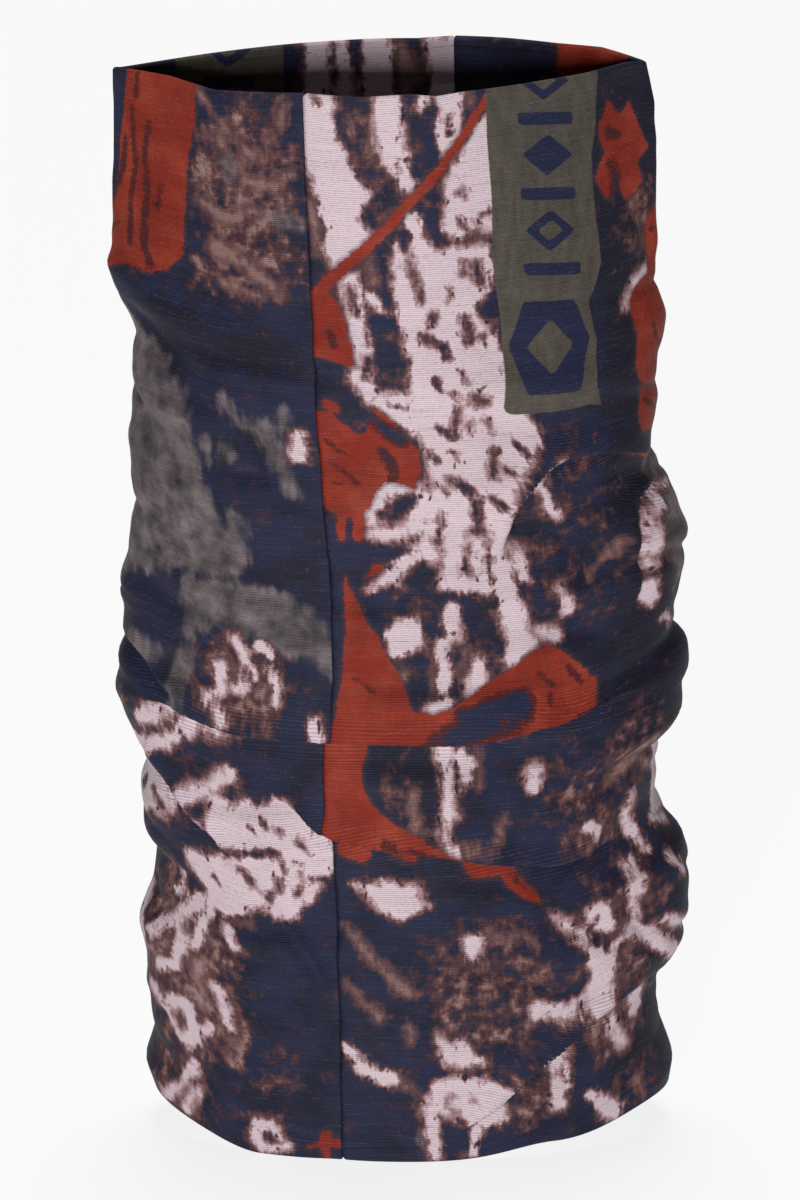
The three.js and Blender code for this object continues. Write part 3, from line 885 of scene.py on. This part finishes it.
BROWN_STROKES = [
    (4, 5, (20, 474), (18, 458), (22, 446)), (3, 4, (56, 470), (50, 458), (46, 446)),
    (3, 4, (44, 474), (30, 462), (12, 456), (2, 450)),
    (1.6, 3, (3, 101), (10, 92), (18, 83), (26, 74)), (1.6, 2.6, (4, 78), (8, 70), (15, 63)),
    (2.8, 2.2, (27, 58), (27, 54)), (2, 1.4, (20, 36), (26, 33), (31, 29)),
    (2.4, 2, (33, 158), (34, 142)),
    (2, 1.6, (60, 441), (63, 432)), (3, 2.4, (112, 150), (124, 154), (136, 146)),
    (2.6, 2, (-44, 62), (-42, 50), (-46, 42)), (1.6, 1.2, (-46, 98), (-34, 98)),
    (2, 1.4, (128, 384), (133, 372), (138, 364)), (2.2, 2, (120, 15), (124, 6)),
    (3, 2.2, (2, 396), (3, 384), (4, 376)), (2, 2.4, (22, 378), (23, 366)),
    (1.6, 1, (48, 136), (58, 134), (65, 137), (67, 148)), (1.6, 1.2, (60, 97), (72, 96), (76, 91)),
    (1.2, 1, (38, 200), (38, 218)), (1, 1.4, (50, 196), (50, 216)), (1.4, 1.2, (59, 176), (58, 160)),
    (1.8, 1.8, (-3, 190), (-5, 182)), (1.6, 2.2, (-42, 438), (-30, 424), (-18, 412)),
    (2, 1.8, (-18, 412), (-10, 424), (-7, 434)), (2.6, 2.6, (-24, 404), (-12, 402), (-5, 408)),
    (1.8, 2.4, (-42, 420), (-34, 420), (-26, 410)), (3.4, 3, (-40, 392), (-28, 388), (-20, 392)),
    (4, 3, (-36, 376), (-24, 370), (-14, 362)), (2, 2.4, (-34, 362), (-20, 358)),
    (2, 1.5, (112, 252), (100, 240)),
]

BAND = [
    [(69, 474), (68, 420), (69, 396), (68, 374), (70, 350), (71, 330), (70, 313), (73, 311), (104, 311),
     (109, 309), (106, 318), (108, 335), (105, 350), (111, 365), (109, 385), (108, 408), (111, 420),
     (113, 436), (113, 474)],
]

# Plain marks on the band: bars, lozenges and a six-sided patch with a lozenge left open in it.
# Some of them come again further down, row by row.
ROW_PITCH = 29
BAR = [(80, 457), (101, 454), (101, 450), (80, 453)]
LOZENGE = [(81, 441), (90, 432), (100, 438), (91, 447)]
LOZENGE_OPENING = [(86, 440), (90, 436), (95, 439), (91, 443)]


def in_rows(outline, rows):
    return [[(x, y - row * ROW_PITCH) for x, y in outline] for row in rows]


BAND_MARKS = [
    *in_rows(BAR, range(3)),
    *in_rows(LOZENGE, range(3)),
    [(83, 472), (91, 464), (98, 468), (91, 476)],
    [(80, 370), (102, 367), (102, 363), (80, 366)],
    [(73, 338), (79, 355), (99, 353), (105, 337), (99, 318), (79, 319)],
]
BAND_OPENINGS = [
    *in_rows(LOZENGE_OPENING, (0, 2)),
    [(80, 337), (89, 326), (98, 336), (89, 347)],
]

FIELD_REACH = 12.0  # how far outside a shape its distance is still worked out
FROM_END = -5.0  # a shape with a point before this is given from the ending seam
OUTLINE_SPREAD = 0.4  # how far a filled outline spreads


def shape_field(around, up, shapes):
    """How far inside the nearest shape each place is, in millimetres; negative outside."""
    field = np.full(around.shape, -FIELD_REACH)
    for shape in shapes:
        filled = isinstance(shape, list)
        points = np.array(shape if filled else shape[2:], float)
        if points[:, 0].min() < FROM_END:
            points = points + (PANEL_WIDTH, 0.0)
        low, high = points.min(axis=0) - FIELD_REACH, points.max(axis=0) + FIELD_REACH
        near = (around > low[0]) & (around < high[0]) & (up > low[1]) & (up < high[1])
        x, y = around[near], up[near]
        radii = np.linspace(*shape[:2], len(points)) if not filled else np.zeros(len(points))
        ends = np.roll(points, -1, axis=0) if filled else points[1:]
        value = np.full(x.shape, -np.inf)
        inside = np.zeros(x.shape, bool)
        for k, ((ax, ay), (bx, by)) in enumerate(zip(points, ends)):
            span = (bx - ax) ** 2 + (by - ay) ** 2
            t = np.clip(((x - ax) * (bx - ax) + (y - ay) * (by - ay)) / span, 0.0, 1.0)
            away = np.hypot(x - ax - t * (bx - ax), y - ay - t * (by - ay))
            radius = radii[k] + t * (radii[(k + 1) % len(radii)] - radii[k])
            value = np.maximum(value, radius - away)
            if filled and ay != by:
                inside ^= ((ay > y) != (by > y)) & (x < ax + (y - ay) * (bx - ax) / (by - ay))
        value = np.where(inside, -value, value) + (OUTLINE_SPREAD if filled else 0.0)
        field[near] = np.maximum(field[near], value)
    return field


SPOT_STRENGTH = 1.2  # how fast the pale gives way inside a dark spot
SPOT_SPREAD = 0.6


def mottled_field(across, along):
    mottled = np.zeros(across.shape)
    for middle, at, reach_round, reach_up, strength in MOTTLED:
        middle = middle + PANEL_WIDTH if middle < 0 else middle
        away = ((across - middle) / reach_round) ** 2 + ((along - at) / reach_up) ** 2
        mottled = np.maximum(mottled, strength * np.exp(-(away**2)))
    return mottled


def add_print(mesh, across, along):
    """Writes each layer of the print on the vertices, for the materials to read."""
    spots = -SPOT_STRENGTH * shape_field(across, along, DARK_SPOTS) - SPOT_SPREAD
    openings = shape_field(across, along, BAND_OPENINGS)
    fields = {
        "pale": np.minimum(shape_field(across, along, PALE), spots),
        "red": shape_field(across, along, RED),
        "red_shade": shape_field(across, along, RED_SHADE),
        "taupe": shape_field(across, along, TAUPE),
        "brown": shape_field(across, along, BROWN_STROKES),
        "mottled": mottled_field(across, along),
        # painted shade: nearly black navy at the sides of the tube and beside the folds
        "painted_shade": shape_field(across, along, PAINTED_SHADE_SHAPES),
        "band": shape_field(across, along, BAND),
        "band_mark": np.minimum(shape_field(across, along, BAND_MARKS), -openings),
    }
    for name, values in fields.items():
        attribute = mesh.attributes.new(name, "FLOAT", "POINT")
        attribute.data.foreach_set("value", values.astype(np.float32))
    cloth = mesh.attributes.new("cloth_place", "FLOAT_VECTOR", "POINT")
    place = np.stack([across, along, np.zeros(across.shape)], axis=1)
    cloth.data.foreach_set("vector", place.astype(np.float32).ravel())


# ---- Materials ----


def new_material(name):
    material = bpy.data.materials.new(name)
    material.use_nodes = True
    tree = material.node_tree
    tree.nodes.clear()
    output = tree.nodes.new("ShaderNodeOutputMaterial")
    shader = tree.nodes.new("ShaderNodeBsdfPrincipled")
    tree.links.new(shader.outputs["BSDF"], output.inputs["Surface"])
    return material, shader, tree


class Nodes:
    """Short ways to add the nodes that the materials use."""

    def __init__(self, tree):
        self.tree = tree

    def add(self, kind, inputs=(), **settings):
        node = self.tree.nodes.new(kind)
        for key, value in settings.items():
            setattr(node, key, value)
        for socket, value in dict(inputs).items():
            if isinstance(value, bpy.types.NodeSocket):
                self.tree.links.new(value, node.inputs[socket])
            else:
                node.inputs[socket].default_value = value
        return node

    def field(self, name):
        return self.add("ShaderNodeAttribute", attribute_name=name).outputs["Fac"]

    def place(self):
        return self.add("ShaderNodeAttribute", attribute_name="cloth_place").outputs["Vector"]

    def math(self, operation, a, b=0.0, c=0.0):
        return self.add("ShaderNodeMath", {0: a, 1: b, 2: c}, operation=operation).outputs[0]

    def plus(self, a, b):
        return self.math("ADD", a, b)

    def times(self, a, b):
        return self.math("MULTIPLY", a, b)

    def times_plus(self, a, b, c):
        return self.math("MULTIPLY_ADD", a, b, c)

    def stretched(self, vector, scale):
        return self.add("ShaderNodeMapping", {"Vector": vector, "Scale": scale}).outputs[0]

    def noise(self, vector, size, detail=2.0, rough=0.55, seed=0.0):
        """Noise from about -1 to 1, with features of a given size in the vector's own units."""
        away = (seed * 37.0, seed * 91.0, seed)
        moved = self.add("ShaderNodeMapping", {"Vector": vector, "Location": away})
        inputs = {"Vector": moved.outputs[0], "Scale": 1.0 / size, "Detail": detail, "Roughness": rough}
        out = self.add("ShaderNodeTexNoise", inputs).outputs["Fac"]
        return self.times_plus(out, 4.0, -2.0)

    def step(self, value, low, high):
        inputs = {"Value": value, "From Min": low, "From Max": high, "To Min": 0.0, "To Max": 1.0}
        return self.add("ShaderNodeMapRange", inputs, interpolation_type="SMOOTHSTEP").outputs["Result"]

    def mix(self, factor, a, b, blend="MIX"):
        node = self.tree.nodes.new("ShaderNodeMix")
        node.data_type = "RGBA"
        node.blend_type = blend
        for socket, value in ((node.inputs["Factor"], factor), (node.inputs[6], a), (node.inputs[7], b)):
            if isinstance(value, bpy.types.NodeSocket):
                self.tree.links.new(value, socket)
            else:
                socket.default_value = value
        return node.outputs[2]

    def layers(self, value, base, layers):
        """Colours over each other, each coming in from a low to a high value."""
        for low, high, colour in layers:
            base = self.mix(self.step(value, low, high), base, colour)
        return base

    def ramp(self, value, stops):
        node = self.add("ShaderNodeValToRGB", {"Fac": value})
        elements = node.color_ramp.elements
        while len(elements) < len(stops):
            elements.new(0.5)
        for element, (position, color) in zip(elements, stops):
            element.position = position
            element.color = color
        return node.outputs["Color"]


def rgb(red, green, blue):
    """An sRGB colour from 0 to 255 as the linear colour that the nodes take."""
    values = [v / 255.0 for v in (red, green, blue)]
    return (*[v / 12.92 if v <= 0.04045 else ((v + 0.055) / 1.055) ** 2.4 for v in values], 1.0)


NAVY = rgb(32, 36, 62)
NAVY_DEEP = rgb(24, 25, 39)
# the colour of the painted shade at the sides of the tube and beside the folds
PAINTED_SHADE_NAVY = rgb(26, 23, 36)
NAVY_PURPLE = rgb(48, 36, 50)
BURGUNDY = rgb(66, 43, 49)
BROWN = rgb(98, 66, 65)
TAN = rgb(136, 106, 100)
PINK = rgb(160, 128, 132)
WHITE_PINK = rgb(204, 184, 190)
RED_COLOR = rgb(124, 36, 22)
RED_LIGHT = rgb(146, 55, 37)
RED_DEEP = rgb(70, 23, 22)
TAUPE_COLOR = rgb(88, 79, 80)
TAUPE_LIGHT = rgb(126, 114, 116)
TAUPE_DEEP = rgb(42, 39, 46)
OLIVE = rgb(72, 66, 59)
OLIVE_LIGHT = rgb(88, 82, 73)


def print_noises(n, place):
    """The noises that the layers of the print share, by the size of their features."""
    broad = n.noise(place, 8.0, 3.0, seed=7.0)
    middle = n.noise(place, 3.4, 3.0, seed=2.0)
    fine = n.noise(place, 1.4, 2.0, seed=3.0)
    upright = n.noise(n.stretched(place, (1.0, 0.4, 1.0)), 2.2, 2.0, seed=13.0)
    small = n.times_plus(middle, 0.6, n.times(fine, 0.4))
    details = n.times_plus(upright, 1.1, n.times(small, 1.3))
    return SimpleNamespace(
        coarse=n.noise(place, 18.0, 3.0, seed=1.0),
        broad=broad,
        middle=middle,
        small=small,
        fine=fine,
        upright=upright,
        streaky=n.noise(n.stretched(place, (1.0, 0.3, 1.0)), 3.2, 3.0, seed=4.0),
        flecks=n.noise(n.stretched(place, (1.0, 0.6, 1.0)), 2.6, 1.0, seed=10.0),
        ragged=n.times_plus(broad, 1.6, details),
    )


def navy_ground(n, noises):
    """Navy, in places nearly black or purple, with painted shade of nearly black navy at the sides and
    beside the folds.
    """
    ground = n.mix(n.step(noises.coarse, -1.0, 0.6), NAVY_DEEP, NAVY)
    ground = n.mix(n.times(n.step(noises.broad, -0.4, 1.4), 0.75), ground, NAVY_PURPLE)
    # Painted shade: the navy turns nearly black at the sides of the tube and beside the folds.
    painted_shade = n.times_plus(noises.broad, 5.0, n.field("painted_shade"))
    return n.mix(n.times(n.step(painted_shade, -7.0, 5.0), 0.75), ground, PAINTED_SHADE_NAVY)


def mottled_over(n, noises, ground):
    """Stains and strokes of brown, tan and pink."""
    wash = n.times_plus(noises.middle, 0.5, n.times_plus(noises.upright, 0.35, noises.broad))
    stain = n.times_plus(n.field("mottled"), 0.95, -0.86)
    mottle = n.times_plus(wash, 0.62, stain)
    stains = [(-0.50, -0.12, BURGUNDY), (-0.20, 0.16, BROWN), (0.06, 0.42, TAN), (0.36, 0.7, PINK)]
    ground = n.layers(mottle, ground, stains)
    stroke = n.plus(noises.ragged, n.field("brown"))
    ground = n.mix(n.times(n.step(stroke, -2.4, 1.2), 0.9), ground, BROWN)
    return n.mix(n.times(n.step(stroke, 0.4, 3.2), 0.8), ground, TAN)


def taupe_over(n, noises, ground):
    """Taupe patches with swirls in them."""
    taupe = n.plus(n.field("taupe"), n.times_plus(noises.streaky, 2.4, noises.broad))
    swirl = n.times_plus(noises.broad, 1.2, n.times_plus(noises.streaky, 0.35, noises.coarse))
    stops = [(0.0, TAUPE_DEEP), (0.45, TAUPE_COLOR), (1.0, TAUPE_LIGHT)]
    return n.mix(n.step(taupe, -3.0, 2.6), ground, n.ramp(n.times_plus(swirl, 0.3, 0.5), stops))


def pale_over(n, noises, ground):
    """Pale shapes that fade through brown, over a width that itself varies."""
    sharpness = n.times_plus(n.step(noises.coarse, -0.9, 0.9), 0.9, 0.45)
    pale = n.times(n.plus(n.field("pale"), noises.ragged), sharpness)
    pale = n.math("SUBTRACT", pale, n.times(n.step(noises.flecks, 0.5, 1.1), 2.2))
    stops = [(0.24, BURGUNDY), (0.39, BROWN), (0.50, PINK), (0.60, WHITE_PINK), (1.0, WHITE_PINK)]
    shades = n.ramp(n.times_plus(pale, 0.1, 0.5), stops)
    return n.mix(n.step(pale, -3.4, -0.9), ground, shades)


def red_over(n, noises, ground):
    """Rust red shapes with dark veins and a burgundy edge."""
    red = n.times_plus(noises.small, 1.1, n.field("red"))
    colour = n.mix(n.step(noises.coarse, -0.5, 1.0), RED_COLOR, RED_LIGHT)
    veins = n.times_plus(noises.small, 1.7, n.field("red_shade"))
    colour = n.mix(n.times(n.step(veins, -1.2, 0.6), 0.9), colour, RED_DEEP)
    colour = n.mix(n.step(veins, 0.8, 2.4), colour, NAVY)
    colour = n.mix(n.times(n.step(noises.streaky, 0.3, 1.5), 0.4), colour, RED_DEEP)
    ground = n.mix(n.times(n.step(red, -2.0, -0.3), 0.6), ground, BURGUNDY)
    return n.mix(n.step(red, -0.4, 0.4), ground, colour)


def band_over(n, noises, ground):
    """The olive band with its plain marks."""
    band = n.times_plus(noises.fine, 0.12, n.field("band"))
    mark = n.times_plus(noises.fine, 0.15, n.field("band_mark"))
    olive = n.mix(n.step(noises.streaky, -1.0, 1.4), OLIVE, OLIVE_LIGHT)
    colour = n.mix(n.step(mark, -0.25, 0.25), olive, NAVY)
    return n.mix(n.step(band, -0.3, 0.3), ground, colour)


def printed_colour(n, place):
    noises = print_noises(n, place)
    colour = navy_ground(n, noises)
    for over in (mottled_over, taupe_over, pale_over, red_over, band_over):
        colour = over(n, noises, colour)
    return colour


COURSE = 0.85  # height of one row of knitting
WALE = 0.62  # width of one stitch


def knit_height(n, place):
    """Rows of small loops: low ridges round the tube, each with the legs of its stitches."""
    split = n.add("ShaderNodeSeparateXYZ", {0: place})
    wander = n.times(n.noise(place, 9.0, 2.0, seed=6.0), 0.09)
    row = n.plus(n.math("DIVIDE", split.outputs[1], COURSE), wander)
    ridge = n.math("SINE", n.times(row, 2 * math.pi))
    wale = n.math("SINE", n.times(split.outputs[0], 2 * math.pi / WALE))
    return n.times_plus(n.times(ridge, wale), 0.25, ridge)


YARN_GREY = rgb(132, 130, 142)  # undyed yarn that shows between the printed loops
YARN_PALE = rgb(196, 194, 198)
YARN_WHITE = rgb(225, 224, 228)
THREAD_DARK = rgb(26, 27, 42)
THREAD_LIGHT = rgb(62, 64, 88)
# The next three lighten or darken the print: a painted highlight on raised loops and slubs, painted shade
# on sunk ones, both partly the yarn's own flecked tone, and painted shade between the rows.
LIT = (1.25, 1.25, 1.25, 1.0)  # these three multiply the print's own colour
SUNK_SHADE_AND_FLECK = (0.55, 0.55, 0.58, 1.0)
PAINTED_SHADE_BETWEEN_ROWS = (0.72, 0.72, 0.74, 1.0)


def add_bump(n, shader, height, strength, distance):
    """Relief; the distance is in metres."""
    inputs = {"Height": height, "Strength": strength, "Distance": distance}
    bump = n.add("ShaderNodeBump", inputs)
    n.tree.links.new(bump.outputs["Normal"], shader.inputs["Normal"])


def face_material():
    """The printed side: the print on heathered yarn, with painted highlight and painted shade on its
    raised and sunk loops and slubs, and painted shade between its rows of knitting.
    """
    material, shader, tree = new_material("printed_jersey_face")
    n = Nodes(tree)
    place = n.place()
    colour = printed_colour(n, place)
    knit = knit_height(n, place)
    slub = n.noise(n.stretched(place, (0.06, 1.0, 1.0)), 0.9, 2.0, seed=8.0)
    fleck = n.noise(n.stretched(place, (0.5, 1.0, 1.0)), 0.7, 1.0, seed=9.0)
    lift = n.plus(n.times(knit, 0.35), n.plus(slub, fleck))
    # Painted highlight where the knit and its slubs rise, partly the yarn's own flecks.
    colour = n.mix(n.step(lift, 0.0, 2.4), colour, LIT, "MULTIPLY")
    colour = n.mix(n.times(n.step(lift, 0.2, 2.4), 0.14), colour, YARN_GREY)
    # Painted shade where the knit and its slubs sink, partly the yarn's own flecks.
    colour = n.mix(n.step(lift, 0.0, -2.4), colour, SUNK_SHADE_AND_FLECK, "MULTIPLY")
    # Painted shade between the rows of knitting.
    colour = n.mix(n.step(knit, 0.9, -0.9), colour, PAINTED_SHADE_BETWEEN_ROWS, "MULTIPLY")
    tree.links.new(colour, shader.inputs["Base Color"])
    rough = n.times_plus(n.step(fleck, -1.0, 1.0), 0.14, 0.62)
    tree.links.new(rough, shader.inputs["Roughness"])
    shader.inputs["Specular IOR Level"].default_value = 0.16
    shader.inputs["Sheen Weight"].default_value = 0.03
    shader.inputs["Sheen Roughness"].default_value = 0.35
    add_bump(n, shader, n.times_plus(slub, 0.35, knit), 0.35, 0.12 * MM)
    return material


def reverse_material():
    """The unprinted side: pale yarn through which the print shows faintly."""
    material, shader, tree = new_material("printed_jersey_reverse")
    n = Nodes(tree)
    place = n.place()
    ghost = printed_colour(n, place)
    knit = knit_height(n, place)
    yarn = n.noise(n.stretched(place, (0.2, 1.0, 1.0)), 1.1, 2.0, seed=12.0)
    colour = n.mix(0.62, YARN_PALE, ghost)
    colour = n.mix(n.times(n.step(yarn, -0.5, 1.5), 0.2), colour, YARN_WHITE)
    tree.links.new(colour, shader.inputs["Base Color"])
    shader.inputs["Roughness"].default_value = 0.85
    shader.inputs["Sheen Weight"].default_value = 0.15
    add_bump(n, shader, knit, 0.5, 0.15 * MM)
    return material


def thread_material():
    """Twisted dark polyester thread."""
    material, shader, tree = new_material("seam_thread")
    n = Nodes(tree)
    place = n.add("ShaderNodeTexCoord").outputs["Object"]
    twist = n.noise(place, 0.4 * MM, 2.0, seed=5.0)
    colour = n.mix(n.step(twist, -1.0, 1.0), THREAD_DARK, THREAD_LIGHT)
    tree.links.new(colour, shader.inputs["Base Color"])
    shader.inputs["Roughness"].default_value = 0.5
    add_bump(n, shader, twist, 0.5, 0.05 * MM)
    return material


# ---- The set: floor, light and camera ----

FLOOR_REACH = 60.0  # metres each way, so that it fills the view behind the object
FLOOR_GREY = 0.12
FLOOR_GLOW = 0.83
WORLD_GLOW = 0.02
WHITE = (1.0, 1.0, 1.0, 1.0)

SUN_ENERGY = 2.4
SUN_ANGLE = math.radians(25.0)  # how wide it is, for soft shadows
SUN_TILT = math.radians(-14.0)  # a little from the front

# A low soft light in front, in metres and watts, aimed at the middle of the object.
KEY_PLACE = (-0.35, -2.7, 0.55)
KEY_TARGET = (0.0, 0.0, 0.2)
KEY_SIZE = 0.4
KEY_POWER = 57.0


def make_floor():
    reach = FLOOR_REACH / MM
    corners = [(-reach, -reach, 0.0), (reach, -reach, 0.0), (reach, reach, 0.0), (-reach, reach, 0.0)]
    floor = new_object("floor", corners, [(0, 1, 2, 3)], smooth_faces=False)
    floor.data.materials.append(floor_material())


def floor_material():
    """Grey that glows nearly white, so that it stays as pale far from the lights."""
    material, shader, _ = new_material("floor_white")
    shader.inputs["Base Color"].default_value = (FLOOR_GREY, FLOOR_GREY, FLOOR_GREY, 1.0)
    shader.inputs["Roughness"].default_value = 0.9
    shader.inputs["Emission Color"].default_value = WHITE
    shader.inputs["Emission Strength"].default_value = FLOOR_GLOW
    return material


def add_light(name, kind):
    data = bpy.data.lights.new(name, kind)
    light = bpy.data.objects.new(name, data)
    bpy.context.scene.collection.objects.link(light)
    return light, data


def add_key_light():
    light, data = add_light("key", "AREA")
    data.shape = "RECTANGLE"
    data.size = KEY_SIZE
    data.size_y = KEY_SIZE
    data.energy = KEY_POWER
    light.location = KEY_PLACE
    toward = Vector(KEY_TARGET) - Vector(KEY_PLACE)
    light.rotation_euler = toward.to_track_quat("-Z", "Y").to_euler()


def add_overhead_light():
    """Soft light from nearly straight above, the same over the whole floor."""
    light, data = add_light("overhead", "SUN")
    data.energy = SUN_ENERGY
    data.angle = SUN_ANGLE
    light.rotation_euler = (SUN_TILT, 0.0, 0.0)


def add_lights():
    add_overhead_light()
    add_key_light()
    world = bpy.data.worlds.new("studio")
    world.use_nodes = True
    background = world.node_tree.nodes["Background"]
    background.inputs["Color"].default_value = WHITE
    background.inputs["Strength"].default_value = WORLD_GLOW
    bpy.context.scene.world = world
    bpy.context.scene.view_settings.view_transform = "Standard"


# The camera, in metres, degrees downwards, and millimetres of lens and film.
CAMERA_DISTANCE = 2.5
CAMERA_HEIGHT = 0.916
CAMERA_PITCH = 15.9
CAMERA_LENS = 207.9
CAMERA_FILM = 36.0


def add_camera():
    data = bpy.data.cameras.new("camera")
    data.sensor_fit = "VERTICAL"
    data.sensor_height = CAMERA_FILM
    data.lens = CAMERA_LENS
    data.clip_end = 50.0
    camera = bpy.data.objects.new("camera", data)
    camera.location = (0.0, -CAMERA_DISTANCE, CAMERA_HEIGHT)
    camera.rotation_euler = (math.radians(90.0 - CAMERA_PITCH), 0.0, 0.0)
    bpy.context.scene.collection.objects.link(camera)
    bpy.context.scene.camera = camera


# ---- Put together ----

SEAM_THREADS = ("needle_thread", "upper_looper_thread", "lower_looper_thread")


def build():
    """Both panels and both seams, each attached to the root body, with the matching parts from model.glb
    hidden.
    """
    face, reverse, thread = face_material(), reverse_material(), thread_material()
    right = make_panel("right_panel_cloth", 0.0)
    left = make_panel("left_panel_cloth", -PANEL_WIDTH)
    seams = {"front_seam": make_seam("front_seam", 0.0), "back_seam": make_seam("back_seam", PANEL_WIDTH)}
    for panel in (right, left):
        panel.data.materials.append(face)
        panel.data.materials.append(reverse)
        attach(panel, "root")
    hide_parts("right_panel")
    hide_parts("left_panel")
    for seam, pieces in seams.items():
        for piece, node in zip(pieces, SEAM_THREADS):
            piece.data.materials.append(thread)
            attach(piece, "root")
            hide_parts(f"{seam}_{node}")


build()
make_floor()
add_lights()
add_camera()

bpy.context.view_layer.update()
